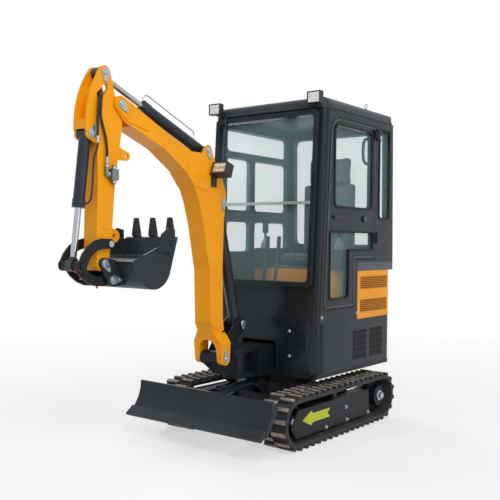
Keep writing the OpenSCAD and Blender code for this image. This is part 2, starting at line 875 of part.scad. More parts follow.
module side_glass() {
    mid = house_half - wall_t / 2;
    color(GLASS) {
        along_y(mid - glass_t / 2, mid + glass_t / 2) quarter_2d(pane_gap);
        along_y(-mid - glass_t / 2, -mid + glass_t / 2) right_windows_2d(pane_gap);
    }
}

roof_corner = 70;
roof_edge = 46;
roof_front = cab_front_top + 12;

// Arched outline of the roof in the side or front view
module crown_2d(from, wide) {
    translate([from, roof_z - 3 * roof_t]) soft_rect([wide, 3 * roof_t], roof_edge);
}

// Roof shell, rounded in plan and along its upper edges, with a drip rim and two stiffening ribs
module roof() {
    rim_t = 16;
    rim_out = 6;
    rib_w = 90;
    rib_h = 5;
    length = house_rear + roof_front;
    color(BLACK) {
        intersection() {
            translate([-house_rear, -house_half, roof_low]) linear_extrude(roof_t)
                soft_rect([length, house_w], roof_corner);
            along_y(-house_half - 1, house_half + 1) crown_2d(-house_rear, length);
            along_x(-house_rear - 1, roof_front + 1) crown_2d(-house_half, house_w);
        }
        translate([-house_rear - rim_out, -house_half - rim_out, roof_low]) linear_extrude(rim_t)
            soft_rect([length + 2 * rim_out, house_w + 2 * rim_out], roof_corner + rim_out);
        both_sides() translate([-house_rear + 2 * roof_corner, house_half / 2 - rib_w, roof_z - 1])
            cube([length - 4 * roof_corner, rib_w, rib_h + 1]);
    }
}

module seat() {
    base = hood_top + 20;
    color("dimgray") {
        translate([-620, -230, base]) cube([380, 460, 90]);
        translate([-680, -230, base + 90]) cube([110, 460, 430]);
        translate([-670, -120, base + 540]) cube([90, 240, 130]);
        translate([-640, -40, base + 520]) cube([30, 80, 20]);
    }
}

module consoles() {
    color(BLACK) both_sides() translate([-500, 270, hood_top + 20]) cube([330, 110, 130]);
}

module levers() {
    stick_r = 8;
    grip_r = 15;
    color(BLACK) {
        both_sides() translate([-230, 325, hood_top + 150]) {
            cylinder(r = 26, h = 40);
            cylinder(r = 10, h = 120);
            translate([0, 0, 115]) cylinder(r = 22, h = 95);
        }
        both_sides() along_y(40, 40 + 2 * stick_r) {
            chain_2d([
                [215, sill_z + floor_t + stick_r, stick_r], [160, sill_z + 300, stick_r], [126, sill_z + 470, stick_r]
            ]);
            bar_2d([126, sill_z + 470], [118, sill_z + 560], grip_r, grip_r - 2);
        }
    }
}

module roof_lamps() {
    size = [44, 100, 78];
    strap = [70, 26, 8];
    stud_h = 6;
    color(BLACK) both_sides() translate([roof_front + 6, house_half - 102, roof_low + 2]) {
        cube(strap);
        translate([strap[0] / 2 + 8, strap[1] / 2, strap[2]]) cylinder(r = 9, h = stud_h);
        translate([18, 0, strap[2] + stud_h]) lamp(size);
    }
}

module wiper() {
    top = roof_low - 30;
    low = top - 300;
    arm_y = -inner_half + 95;
    ahead = 8;
    color(BLACK) along_y(arm_y - 8, arm_y + 8) polygon([
        [front_at(top) + screen_out, top + 20], [front_at(top) + screen_out + ahead, top + 20],
        [front_at(low) + screen_out + ahead, low], [front_at(low) + screen_out, low]
    ]);
}

// Door with its upper and lower window openings
module door_upper_2d(shrink) {
    low = upper_z + 380;
    high = roof_low - 100;
    wide = door_rear + front_at(high) - 2 * post_w - 60;
    translate([-door_rear + 60 + shrink, low + shrink]) soft_rect([wide - 2 * shrink, high - low - 2 * shrink], 40);
}

module door_lower_2d(shrink) {
    low = cab_low + 160;
    high = upper_z + 210;
    step = upper_z + 90;
    x0 = -door_rear + 40;
    x1 = front_at(high) - post_w - 50;
    xm = -hood_front + 130;
    polygon([
        [xm + shrink, low + shrink], [x1 - shrink, low + shrink], [x1 - shrink, high - shrink],
        [x0 + shrink, high - shrink], [x0 + shrink, step + shrink], [xm + shrink, step + shrink]
    ]);
}

module door() {
    color(BLACK) difference() {
        union() {
            along_y(house_half - wall_t, house_half) difference() {
                doorway_2d(-door_gap);
                door_upper_2d(0);
                door_lower_2d(0);
            }
            for (z = hinge_at) {
                translate([hinge_x, hinge_y, z]) cylinder(r = hinge_r, h = hinge_h);
                translate([hinge_x, house_half, z]) cube([30, 18, hinge_h]);
            }
        }
        for (z = hinge_at)
            translate([hinge_x, hinge_y, z - 1]) cylinder(r = hinge_pin_r + run_gap, h = hinge_h + 2);
    }
}

module door_glass() {
    mid = house_half - wall_t / 2;
    color(GLASS) along_y(mid - glass_t / 2, mid + glass_t / 2) {
        door_upper_2d(pane_gap);
        door_lower_2d(pane_gap);
    }
}

module door_handle() {
    z = upper_z + 295;
    color(BLACK) {
        translate([-60, house_half, z]) cube([160, 14, 22]);
        along_y(house_half, house_half + 10) translate([-320, z + 10]) circle(24);
    }
}

// Swing post: hub on the swing pin, boom foot boss and the boom cylinder's bracket
module swing_post() {
    lug_t = 32;
    nose_top = boom_foot_z + 40;
    hub_low = deck_z + lug_t + side_gap;
    hub_high = nose_top - lug_t - side_gap;
    bracket_in = 46;
    bracket_out = 60;
    post_front = [boom_foot_x - 105, hub_low + 40];
    color(BLACK) difference() {
        union() {
            translate([swing_x, 0, hub_low]) cylinder(r = swing_hub_r, h = hub_high - hub_low);
            along_y(-bracket_out, bracket_out) intersection() {
                chain_2d([
                    [swing_x, (hub_low + hub_high) / 2, (hub_high - hub_low) / 2],
                    spot(post_front, 40),
                    spot(boom_foot, 44)
                ]);
                translate([swing_x, hub_low]) square([400, 400]);
            }
            round_y(boom_foot, 44, -bracket_out - 8, bracket_out + 8);
            for (side = [-1, 1]) along_y(
                side * (bracket_in + bracket_out) / 2 - 7, side * (bracket_in + bracket_out) / 2 + 7)
                difference() {
                    chain_2d([
                        spot(boom_cyl_base, 38),
                        spot(boom_cyl_base + [60, -50], 50),
                        spot(boom_foot + [-60, 10], 40)
                    ]);
                    translate([swing_x - 200, nose_top - 100]) square([200 + swing_hub_r + 12, 120]);
                }
        }
        translate([swing_x, 0, deck_z]) cylinder(r = swing_pin_r + run_gap, h = hub_high - deck_z + 1);
        round_y(boom_foot, pin_r + run_gap, -200, 200);
    }
    color(STEEL) {
        round_y(boom_cyl_base, pin_r, -bracket_out - head_t, bracket_out + head_t);
        keepers(boom_cyl_base, 270, bracket_out);
    }
}

// Boom weldment, with a fork at each end and a slot behind the bend for the boom cylinder
leg_in = 70;
leg_out = 110;
doubler_t = 5;
knee = boom_foot + [37, 245];

// Side view of the boom from above its fork to its tip
module boom_side_2d() {
    chain_2d([
        spot(knee, 59),
        spot(boom_foot + [48, 560], 62),
        spot(boom_bend + [-58, -250], 98),
        spot(boom_bend + [-42, -95], 130),
        spot(boom_bend, 131),
        spot(boom_bend + [85, 55], 100),
        spot(boom_bend + [165, 88], 66),
        spot(boom_tip + [-350, -158], 46),
        spot(boom_tip + [-60, -40], 58),
        spot(boom_tip, 44)
    ]);
}

// Front view of the foot: shoulders, legs and the round arch between them
module fork_2d() {
    low = boom_foot_z - 60;
    shoulder = boom_foot_z + 100;
    neck_z = boom_foot_z + 170;
    top = boom_foot_z + 260;
    arch_z = boom_foot_z + 47;
    difference() {
        polygon([
            [-leg_out, low], [leg_out, low], [leg_out, shoulder], [boom_half, neck_z],
            [boom_half, top], [-boom_half, top], [-boom_half, neck_z], [-leg_out, shoulder]
        ]);
        translate([0, arch_z]) circle(leg_in);
        translate([-leg_in, low - 1]) square([2 * leg_in, arch_z - low + 1]);
    }
}

module boom() {
    collar_h = 40;
    color(PAINT) difference() {
        union() {
            along_y(-boom_half, boom_half) boom_side_2d();
            along_y(-boom_half, boom_half) bar_2d(arm_cyl_base, boom_bend + [10, 60], 34, 90);
            intersection() {
                along_y(-leg_out, leg_out)
                    chain_2d([spot(boom_foot, 40), spot(boom_foot + [4, 110], 49), spot(knee, 58)]);
                along_x(boom_foot_x - 200, boom_foot_x + 300) fork_2d();
            }
            along_y(-boom_half - doubler_t, boom_half + doubler_t) intersection() {
                boom_side_2d();
                translate([boom_foot_x - 200, boom_foot_z + 188]) square([500, collar_h]);
            }
            both_sides() along_y(boom_half, boom_half + doubler_t) {
                chain_2d([spot(boom_tip, 40), spot(boom_tip + [-76, -46], 48), spot(boom_tip + [-205, -96], 22)]);
                intersection() {
                    boom_side_2d();
                    polygon([for (p = [[187, 76], [87, 85], [6, 55], [3, -72], [150, -46], [197, 4]]) boom_bend + p]);
                }
            }
        }
        along_y(-fork_in, fork_in) bar_2d(boom_cyl_eye, boom_cyl_eye + [-45, -330], 118, 86);
        along_y(-fork_in, fork_in) bar_2d(boom_tip, boom_tip + [60, 40], 132, 132);
        along_y(-fork_in, fork_in) bar_2d(arm_cyl_base, arm_cyl_base + [160, 64], 42, 42);
        along_y(-leg_in, leg_in) bar_2d(boom_foot + [-45, 0], boom_foot + [-45, 105], 70, 70);
        for (p = [boom_foot, boom_tip, arm_cyl_base]) round_y(p, pin_r, -200, 200);
        round_y(boom_cyl_eye, pin_r, -200, 200);
    }
}

// Pins fixed in the boom: foot, tip, arm cylinder base and the stubs beside the boom cylinder's eye
module boom_pins() {
    tip_face = boom_half + doubler_t;
    color(STEEL) {
        round_y(boom_foot, pin_r, -leg_out - head_t, leg_out + head_t);
        keepers(boom_foot, 90, leg_out);
        round_y(boom_tip, pin_r, -tip_face - head_t, tip_face + head_t);
        keepers(boom_tip, 222, tip_face);
        round_y(arm_cyl_base, pin_r, -boom_half - head_t, boom_half + head_t);
        keepers(arm_cyl_base, 255, boom_half);
        both_sides() round_y(boom_cyl_eye, pin_r, fork_in, boom_half + head_t);
        keepers(boom_cyl_eye, 285, boom_half);
    }
}

module boom_lamp() {
    size = [70, 110, 74];
    plate = 6;
    lean = 18;
    place = boom_bend + [-77, 15];
    color(BLACK) translate([place[0], boom_half, place[1]]) {
        rotate([0, -lean, 0]) {
            translate([0, 12, 0]) lamp(size);
            translate([0, 0, -plate]) cube([size[0], size[1] + 16, plate]);
        }
        translate([0, 0, -60]) cube([50, plate, 64]);
    }
}

module boom_barrel() {
    span = norm(boom_cyl_eye - boom_cyl_base);
    color(BLACK) from_to(boom_cyl_base, boom_cyl_eye) barrel(span - boom_cyl_in - neck - 10, boom_cyl_r, 44);
}

module boom_rod() {
    color(STEEL) from_to(boom_cyl_eye, 2 * boom_cyl_eye - boom_cyl_base)
        rod(boom_cyl_out + boom_cyl_in + neck + 70, eye_half + 6);
}

// Lifting eye behind the arm
lift_eye = boom_tip + [-98, -266];
lift_eye_r = 11;

// Depth of the pocket that the hoses come out of, from the middle of the arm
hose_in = 8;

// Arm weldment, from the cylinder's fork at the top to the bucket boss at its tip
module arm() {
    color(PAINT) difference() {
        union() {
            along_y(-arm_half, arm_half) chain_2d([
                spot(arm_lever, 36),
                spot(boom_tip + [112, 42], 76),
                spot(boom_tip + [76, -110], 98),
                spot(boom_tip + [73, -208], 80),
                spot(boom_tip + [84, -400], 60),
                spot(arm_tip + [-8, 150], 52),
                spot(arm_tip, 40)
            ]);
            along_y(-arm_half, arm_half) polygon(concat(
                arc(boom_tip + [-302, -128], 527, -4, 33.2), [boom_tip + [90, 130], boom_tip + [60, -150]]
            ));
            round_y(boom_tip, 44, -arm_half, arm_half);
            along_y(-arm_half, arm_half) bar_2d(bucket_cyl_base, boom_tip + [110, -170], 32, 70);
            along_y(-arm_half, arm_half) bar_2d(rocker_pin, rocker_pin + [20, 10], 34, 40);
            along_y(-10, 10) bar_2d(arm_tip + [-117, 145], arm_tip + [-30, 160], 34, 50);
            round_y(rocker_pin, 27, -rocker_in + 0.4, rocker_in - 0.4);
            along_y(-8, 8) bar_2d(lift_eye, lift_eye + [112, 18], 24, 44);
            both_sides() round_y(arm_tip + [-14, 190], 14, arm_half - 1, arm_half + 4);
        }
        round_y(lift_eye, lift_eye_r, -200, 200);
        along_y(-eye_half - 8, eye_half + 8) bar_2d(arm_lever, arm_lever + [-120, 40], 95, 95);
        along_y(-arm_half + plate_t, arm_half - plate_t)
            chain_2d([spot(boom_tip + [173, 122], 30), spot(boom_tip + [215, 42], 44), spot(boom_tip + [215, -58], 50)]);
        both_sides() along_y(hose_in, arm_half + 1) bar_2d(boom_tip + [98, 76], boom_tip + [136, 26], 17, 22);
        along_y(-eye_half - 12, eye_half + 12) bar_2d(bucket_cyl_base, bucket_cyl_base + [40, -200], 42, 56);
        round_y(boom_tip, pin_r + run_gap, -200, 200);
        for (p = [arm_lever, bucket_cyl_base, rocker_pin]) round_y(p, pin_r, -200, 200);
        round_y(arm_tip, pin_r + run_gap, -200, 200);
        round_y(arm_tip + [-117, 145], 14, -200, 200);
    }
}

// Pins fixed in the arm
module arm_pins() {
    color(STEEL) {
        both_sides() round_y(arm_lever, pin_r, eye_half + 8, arm_half + head_t);
        keepers(arm_lever, 268, arm_half);
        round_y(bucket_cyl_base, pin_r, -arm_half - head_t, arm_half + head_t);
        keepers(bucket_cyl_base, 120, arm_half);
        round_y(rocker_pin, pin_r, -rocker_out - head_t, rocker_out + head_t);
    }
}

// Rubber hose along points of [X, Y, Z] measured from the pin at the boom's tip, with a crimped end
hose_r = 7;
crimp_r = 9.5;
crimp_len = 34;
module hose(route) {
    last = len(route) - 1;
    color(RUBBER) translate([boom_tip[0], 0, boom_tip[1]])
        for (i = [0 : last - 1]) hull() {
            translate(route[i]) sphere(hose_r, $fn = 12);
            translate(route[i + 1]) sphere(hose_r, $fn = 12);
        }
    color(STEEL) translate([boom_tip[0], 0, boom_tip[1]]) translate(route[last])
        translate([0, 0, -crimp_len / 2]) cylinder(r = crimp_r, h = crimp_len);
}

// Hose to the bucket's cylinder
module cylinder_hose() {
    hose([
        [113.7, 16, 67.9], [122.2, 27, 56.7], [130.7, 40, 45.6], [138.5, 51, 35.2], [146, 59, 20], [152, 64.5, 2],
        [156.5, 67.5, -17], [160, 69, -37], [162.5, 70, -58], [164.2, 70, -80], [165.4, 70, -102],
        [166, 70, -124], [166, 70, -146], [165.5, 70, -168], [164.5, 70, -188], [163, 70, -206]
    ]);
}

// Hose to the shut-off valve on the arm
module valve_hose() {
    hose([
        [101.6, 16, 58.7], [110.1, 27, 47.5], [118.6, 40, 36.4], [126.4, 51, 26], [133.5, 60, 10.5],
        [139.5, 65.3, -8], [143, 68, -29], [145.5, 68.5, -51], [145, 68.5, -73], [141.5, 68, -95],
        [135, 67.5, -116], [127, 67, -137], [118.5, 66.5, -158], [111, 66, -179], [105, 66, -201],
        [100.8, 66, -223], [98, 66, -245], [96.5, 66, -267], [96, 66, -289], [96, 66, -308]
    ]);
}

// Shut-off valve: block on the arm's side with two stubs and an elbow to its hose
module arm_valve() {
    middle = boom_tip + [51, -381];
    size = [46, 34, 58];
    stub_r = 10;
    stub_len = 22;
    elbow_h = 65.6;
    color(STEEL) {
        translate([middle[0] - size[0] / 2, arm_half, middle[1] - size[2] / 2]) cube(size);
        translate([middle[0] - 4, arm_half + size[1] / 2, middle[1] - size[2] / 2 - stub_len])
            cylinder(r = stub_r, h = size[2] + 2 * stub_len);
        along_x(middle[0], middle[0] + 45 + stub_r)
            translate([arm_half + 15.5, middle[1]]) circle(stub_r - 1);
        translate([middle[0] + 45, arm_half + 15.5, middle[1] - stub_r]) cylinder(r = stub_r, h = elbow_h);
    }
}

module arm_barrel() {
    span = norm(arm_lever - arm_cyl_base);
    color(BLACK) from_to(arm_cyl_base, arm_lever) barrel(span - arm_cyl_in - neck - 10, arm_cyl_r, fork_in - side_gap);
}

module arm_rod() {
    color(STEEL) from_to(arm_lever, 2 * arm_lever - arm_cyl_base) rod(arm_cyl_in + arm_cyl_out + neck + 60, eye_half);
}

module bucket_barrel() {
    span = norm(link_pin - bucket_cyl_base);
    color(BLACK) from_to(bucket_cyl_base, link_pin) barrel(span - bucket_cyl_in - neck - 10, bucket_cyl_r, eye_half + 10);
}

module bucket_rod() {
    color(STEEL) from_to(link_pin, 2 * link_pin - bucket_cyl_base)
        rod(bucket_cyl_in + bucket_cyl_out + neck + 30, eye_half);
}

// Two curved plates from the arm to the pin that the rod pushes
module rocker() {
    pull = (rocker_pin + link_pin) / 2 + [44, 74];
    color(BLACK) both_sides() along_y(rocker_in, rocker_out) difference() {
        union() {
            chain_2d(bow(rocker_pin, pull, link_pin, 27));
            translate(link_pin) circle(30);
        }
        translate(rocker_pin) circle(pin_r + run_gap);
    }
    color(STEEL) both_sides() round_y(link_pin, pin_r, 30, rocker_out + head_t);
}

// Bowed link from the rod's pin to the bucket
module bucket_link() {
    pull = (bucket_pin + link_pin) / 2 + [28, -76];
    color(BLACK) difference() {
        union() {
            both_sides() along_y(30, 44) chain_2d(bow(bucket_pin, pull, link_pin, 25));
            round_y(bucket_pin, 30, -arm_half + 2, arm_half - 2);
            both_sides() round_y(link_pin, 26, 30, rocker_in - 0.4);
        }
        round_y(link_pin, pin_r + run_gap, -200, 200);
    }
}

// Bucket: centre of its round back, lip, hinge edge and the heel where the floor meets the back
centre = arm_tip + [-231, -14];
lip = arm_tip + [-413, 146];
hinge_edge = arm_tip + [-66, 12];
lip_run = lip - centre;
heel_turn = atan2(lip_run[1], lip_run[0]) + acos(bucket_r / norm(lip_run));
bucket_heel = centre + bucket_r * [cos(heel_turn), sin(heel_turn)];

// Outline of the side cutters, from the arm's tip pin
cutter_t = 8;
cutter = [[-331, 194], [-380, 184], [-382, 101], [-352, 60], [-249, 61], [-277, 159]];

// Bucket weldment: rounded shell, side plates, cutters and the two ears
module bucket() {
    half = bucket_w / 2;
    ear_r = 31;
    color(BLACK) {
        difference() {
            along_y(-half, half) bucket_2d(centre, bucket_r, lip, hinge_edge);
            along_y(-half + bucket_t, half - bucket_t)
                bucket_2d(centre, bucket_r - bucket_t, lip + [bucket_t, 4], hinge_edge + [-14, 4]);
        }
        difference() {
            both_sides() along_y(ear_in, ear_out) difference() {
                union() {
                    bar_2d(arm_tip, bucket_pin, ear_r, 34);
                    bar_2d(arm_tip, hinge_edge + [-20, -26], ear_r, 30);
                    bar_2d(bucket_pin, centre + [60, -60], 36, 40);
                }
                translate(centre) circle(bucket_r - bucket_t / 2);
            }
            round_y(arm_tip, pin_r, -200, 200);
        }
        both_sides() along_y(half, half + cutter_t) polygon([for (p = cutter) arm_tip + p]);
    }
}

// Pins fixed in the bucket's ears
module bucket_pins() {
    color(STEEL) {
        round_y(arm_tip, pin_r, -ear_out - head_t, ear_out + head_t);
        keepers(arm_tip, 232, ear_out);
        both_sides() round_y(bucket_pin, pin_r, ear_out, ear_out + head_t);
        keepers(bucket_pin, 180, ear_out);
    }
}

// Side view of the bucket: round back, straight floor to the lip and the mouth
module bucket_2d(centre, r, lip, hinge_edge) {
    run = lip - centre;
    turn = atan2(run[1], run[0]) + acos(r / norm(run));
    back = hinge_edge - centre;
    back_turn = atan2(back[1], back[0]) - acos(min(1, r / norm(back)));
    polygon([
        lip, centre + r * [cos(turn), sin(turn)], centre,
        centre + r * [cos(back_turn), sin(back_turn)], hinge_edge
    ]);
    intersection() {
        translate(centre) circle(r);
        translate(centre - [2 * r, 2 * r]) square([4 * r, 2 * r + 60]);
    }
}

// Bolt-on teeth along the lip
module bucket_teeth() {
    half = bucket_w / 2;
    along = (lip - bucket_heel) / norm(lip - bucket_heel);
    out = [-along[1], along[0]];
    tip_w = tooth_w * 0.66;
    grip = 60;
    color(BLACK) for (y = [-half + 66, 0, half - 66]) intersection() {
        along_y(y - tooth_w / 2, y + tooth_w / 2) polygon([
            lip - grip * along, lip - grip * along + 16 * out, lip + 24 * out,
            lip + [-8, tooth_len], lip + [4, tooth_len], lip + [12, 4], lip
        ]);
        along_x(lip[0] - 100, lip[0] + 100) polygon([
            [y - tooth_w / 2, lip[1] - 2 * grip], [y + tooth_w / 2, lip[1] - 2 * grip],
            [y + tooth_w / 2, lip[1] + 26], [y + tip_w / 2, lip[1] + tooth_len + 1],
            [y - tip_w / 2, lip[1] + tooth_len + 1], [y - tooth_w / 2, lip[1] + 26]
        ]);
    }
}

chassis();
track_cover_left();
track_cover_right();
track_left();
track_right();
sprockets();
idlers();
rollers();
slew_ring();
blade();
blade_edge();
blade_barrel();
blade_rod();
deck();
lower_body();
counterweight();
hood();
engine();
cab_base();
cab_floor();
cab_left();
cab_right();
cab_front();
cab_rear();
roof();
windscreen();
side_glass();
rear_glass();
seat();
consoles();
levers();
roof_lamps();
wiper();
door();
door_glass();
door_handle();
swing_post();
boom();
boom_pins();
boom_lamp();
boom_barrel();
boom_rod();
arm();
arm_pins();
cylinder_hose();
valve_hose();
arm_valve();
arm_barrel();
arm_rod();
bucket_barrel();
bucket_rod();
rocker();
bucket_link();
bucket();
bucket_pins();
bucket_teeth();
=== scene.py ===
"""Studio model of a compact tracked excavator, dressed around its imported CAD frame."""
import math

import bpy
from mathutils import Matrix, Vector


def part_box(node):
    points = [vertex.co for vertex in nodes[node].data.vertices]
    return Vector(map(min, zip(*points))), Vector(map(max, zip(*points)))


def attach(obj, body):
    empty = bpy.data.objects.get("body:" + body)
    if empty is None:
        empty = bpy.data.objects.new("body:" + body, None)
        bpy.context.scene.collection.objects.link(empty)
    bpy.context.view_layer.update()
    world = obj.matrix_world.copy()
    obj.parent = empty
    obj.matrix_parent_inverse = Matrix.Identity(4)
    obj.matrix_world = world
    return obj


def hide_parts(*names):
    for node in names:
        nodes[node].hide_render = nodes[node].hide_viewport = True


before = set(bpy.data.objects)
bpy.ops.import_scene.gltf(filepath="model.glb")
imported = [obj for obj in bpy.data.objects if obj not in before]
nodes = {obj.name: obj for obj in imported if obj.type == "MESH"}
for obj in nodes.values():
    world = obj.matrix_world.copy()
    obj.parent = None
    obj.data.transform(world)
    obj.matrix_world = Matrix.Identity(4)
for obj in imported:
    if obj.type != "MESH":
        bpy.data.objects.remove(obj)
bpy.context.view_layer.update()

# Rubber tracks
# Each track is one endless moulded loop of black rubber with two staggered rows of lugs.
# It is stretched round the sprocket and idler, and pale dust has dried on the lug faces.


def rgb(code):
    """Linear colour of an sRGB hex code."""
    parts = [int(code[i:i + 2], 16) / 255 for i in (1, 3, 5)]
    return tuple(c / 12.92 if c <= 0.04045 else ((c + 0.055) / 1.055) ** 2.4 for c in parts) + (1.0,)


def add_node(material, kind, settings=None, links=None):
    """Adds a shader node with its settings, and links its sockets to others."""
    node = material.node_tree.nodes.new("ShaderNode" + kind)
    for key, value in (settings or {}).items():
        if isinstance(key, int) or key in node.inputs:
            node.inputs[key].default_value = value
        else:
            setattr(node, key, value)
    for key, socket in (links or {}).items():
        material.node_tree.links.new(socket, node.inputs[key])
    return node


def new_material(name, **sockets):
    """A material with its surface shader set, and the node that gives places on the piece."""
    material = bpy.data.materials.new(name)
    material.use_nodes = True
    shader = material.node_tree.nodes["Principled BSDF"]
    for key, value in sockets.items():
        shader.inputs[key.replace("_", " ")].default_value = value
    return material, shader, add_node(material, "TexCoord").outputs["Object"]


def blend_colour(material, share, low, high):
    """Colour that goes from low to high with a share; either end is a hex code or a socket."""
    settings, links = {"data_type": "RGBA"}, {0: share}
    for key, colour in ((6, low), (7, high)):
        if isinstance(colour, str):
            settings[key] = rgb(colour)
        else:
            links[key] = colour
    return add_node(material, "Mix", settings, links).outputs[2]


def dressed(material, shader, colour, rough, bump=None):
    """Links a material's colour, roughness and relief to its shader."""
    links = material.node_tree.links
    links.new(colour, shader.inputs["Base Color"])
    links.new(rough.outputs[0], shader.inputs["Roughness"])
    if bump:
        links.new(bump.outputs[0], shader.inputs["Normal"])
    return material


def put_on(material, names):
    """Gives CAD nodes a material."""
    for name in names:
        nodes[name].data.materials.clear()
        nodes[name].data.materials.append(material)


HALF_BASE = 0.549
AXLE_Z = 0.171
LUG_FOOT = 0.164
LUG_FACE = 0.1695


def track_rubber():
    """Moulded rubber: dark, matt, faintly mottled, with tan dust on the faces of the lugs."""
    material, shader, place = new_material("moulded_track_rubber", IOR=1.5)
    axes = add_node(material, "SeparateXYZ", links={0: place})
    ahead = add_node(material, "Math", {"operation": "ABSOLUTE"}, {0: axes.outputs["X"]})
    past = add_node(material, "Math", {"operation": "SUBTRACT", 1: HALF_BASE}, {0: ahead.outputs[0]})
    past = add_node(material, "Math", {"operation": "MAXIMUM", 1: 0.0}, {0: past.outputs[0]})
    rise = add_node(material, "Math", {"operation": "SUBTRACT", 1: AXLE_Z}, {0: axes.outputs["Z"]})
    span = add_node(material, "CombineXYZ", links={"X": past.outputs[0], "Y": rise.outputs[0]})
    reach = add_node(material, "VectorMath", {"operation": "LENGTH"}, {0: span.outputs[0]})
    face = add_node(material, "MapRange", {1: LUG_FOOT, 2: LUG_FACE}, {0: reach.outputs["Value"]})
    smear = add_node(material, "TexNoise", {"Scale": 40.0, "Detail": 5.0}, {"Vector": place})
    smear = add_node(material, "MapRange", {1: 0.25, 2: 0.6}, {0: smear.outputs["Fac"]})
    dust = add_node(material, "Math", {"operation": "MULTIPLY"}, {0: face.outputs[0], 1: smear.outputs[0]})
    grain = add_node(material, "TexNoise", {"Scale": 260.0, "Detail": 3.0}, {"Vector": place})
    rubber = blend_colour(material, grain.outputs["Fac"], "#1e2022", "#313335")
    colour = blend_colour(material, dust.outputs[0], rubber, "#a3978a")
    rough = add_node(material, "MapRange", {3: 0.62, 4: 0.9}, {0: smear.outputs[0]})
    bump = add_node(material, "Bump", {"Strength": 0.35, "Distance": 0.001}, {"Height": grain.outputs["Fac"]})
    return dressed(material, shader, colour, rough, bump)


put_on(track_rubber(), ["track_left", "track_right"])

# Undercarriage frame, wheels and covers
# Welded and cast steel, shot blasted and powder coated in satin black.
# The covers are flat plates bolted over the roller frames.


def coated_steel(name, colour, worn, dusty, roughness, coat, edge=0.35):
    """Paint on steel: slight colour drift, orange peel, dust on upper faces, thin wear on edges."""
    material, shader, place = new_material(name, IOR=1.5, Specular_IOR_Level=0.18, Coat_Weight=coat,
                                           Coat_Roughness=0.1)
    drift = add_node(material, "TexNoise", {"Scale": 3.0, "Detail": 4.0}, {"Vector": place})
    speck = add_node(material, "TexNoise", {"Scale": 55.0, "Detail": 6.0}, {"Vector": place})
    peel = add_node(material, "TexNoise", {"Scale": 420.0, "Detail": 2.0}, {"Vector": place})
    share = add_node(material, "MapRange", {1: 0.3, 2: 0.7}, {0: drift.outputs["Fac"]})
    base = blend_colour(material, share.outputs[0], colour[0], colour[1])
    facing = add_node(material, "NewGeometry")
    upward = add_node(material, "SeparateXYZ", links={0: facing.outputs["Normal"]})
    lying = add_node(material, "MapRange", {1: 0.55, 2: 1.0, 4: 0.5}, {0: upward.outputs["Z"]})
    patch = add_node(material, "MapRange", {1: 0.4, 2: 0.75}, {0: speck.outputs["Fac"]})
    film = add_node(material, "Math", {"operation": "MULTIPLY"}, {0: lying.outputs[0], 1: patch.outputs[0]})
    base = blend_colour(material, film.outputs[0], base, dusty)
    rounded = add_node(material, "Bevel", {"samples": 4, "Radius": 0.004})
    turn = add_node(material, "VectorMath", {"operation": "DOT_PRODUCT"},
                    {0: rounded.outputs[0], 1: facing.outputs["True Normal"]})
    rub = add_node(material, "MapRange", {1: 0.985, 2: 0.86, 4: edge}, {0: turn.outputs["Value"]})
    rub = add_node(material, "Math", {"operation": "MULTIPLY"}, {0: rub.outputs[0], 1: patch.outputs[0]})
    base = blend_colour(material, rub.outputs[0], base, worn)
    rough = add_node(material, "MapRange", {3: roughness - 0.06, 4: roughness + 0.1},
                     {0: speck.outputs["Fac"]})
    bump = add_node(material, "Bump", {"Strength": 0.03, "Distance": 0.0006}, {"Height": peel.outputs["Fac"]})
    return dressed(material, shader, base, rough, bump)


frame_black = coated_steel("frame_powder_coat", ("#14181c", "#1c2126"), "#474d53", "#3d3c39", 0.42, 0.02)
put_on(frame_black, ["chassis", "track_cover_left", "track_cover_right", "sprockets", "idlers", "rollers",
                     "slew_ring", "deck", "swing_post", "rocker", "bucket_link"])


def mottled(name, colours, roughness, scale, detail=4.0, relief=0.0, **sockets):
    """Surface whose colour and gloss drift together in one noise, which also gives any relief."""
    material, shader, place = new_material(name, **sockets)
    drift = add_node(material, "TexNoise", {"Scale": scale, "Detail": detail}, {"Vector": place})
    share = drift.outputs["Fac"]
    tint = blend_colour(material, share, *colours)
    rough = add_node(material, "MapRange", {3: roughness[0], 4: roughness[1]}, {0: share})
    bump = None
    if relief:
        bump = add_node(material, "Bump", {"Strength": relief, "Distance": 0.0004}, {"Height": share})
    return dressed(material, shader, tint, rough, bump)


def bare_metal(name, colours, roughness, streak):
    """Plated or turned metal, with fine tool marks that vary its gloss."""
    return mottled(name, colours, roughness, streak, relief=0.05, Metallic=1.0)


zinc = bare_metal("zinc_plated_steel", ("#98a1a4", "#c2cacc"), (0.28, 0.46), 90.0)

# Cover bolts and hub nuts
# Zinc plated hex heads on washers: four on each track cover, one large one on each sprocket and idler.
# One head and one washer are grown ring by ring, joined and copied.
TO_LEFT = (-math.pi / 2, 0.0, 0.0)
TO_RIGHT = (math.pi / 2, 0.0, 0.0)
TO_FRONT = (0.0, math.pi / 2, 0.0)
UPRIGHT = (0.0, 0.0, 0.0)
COVER_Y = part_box("track_cover_left")[1][1]


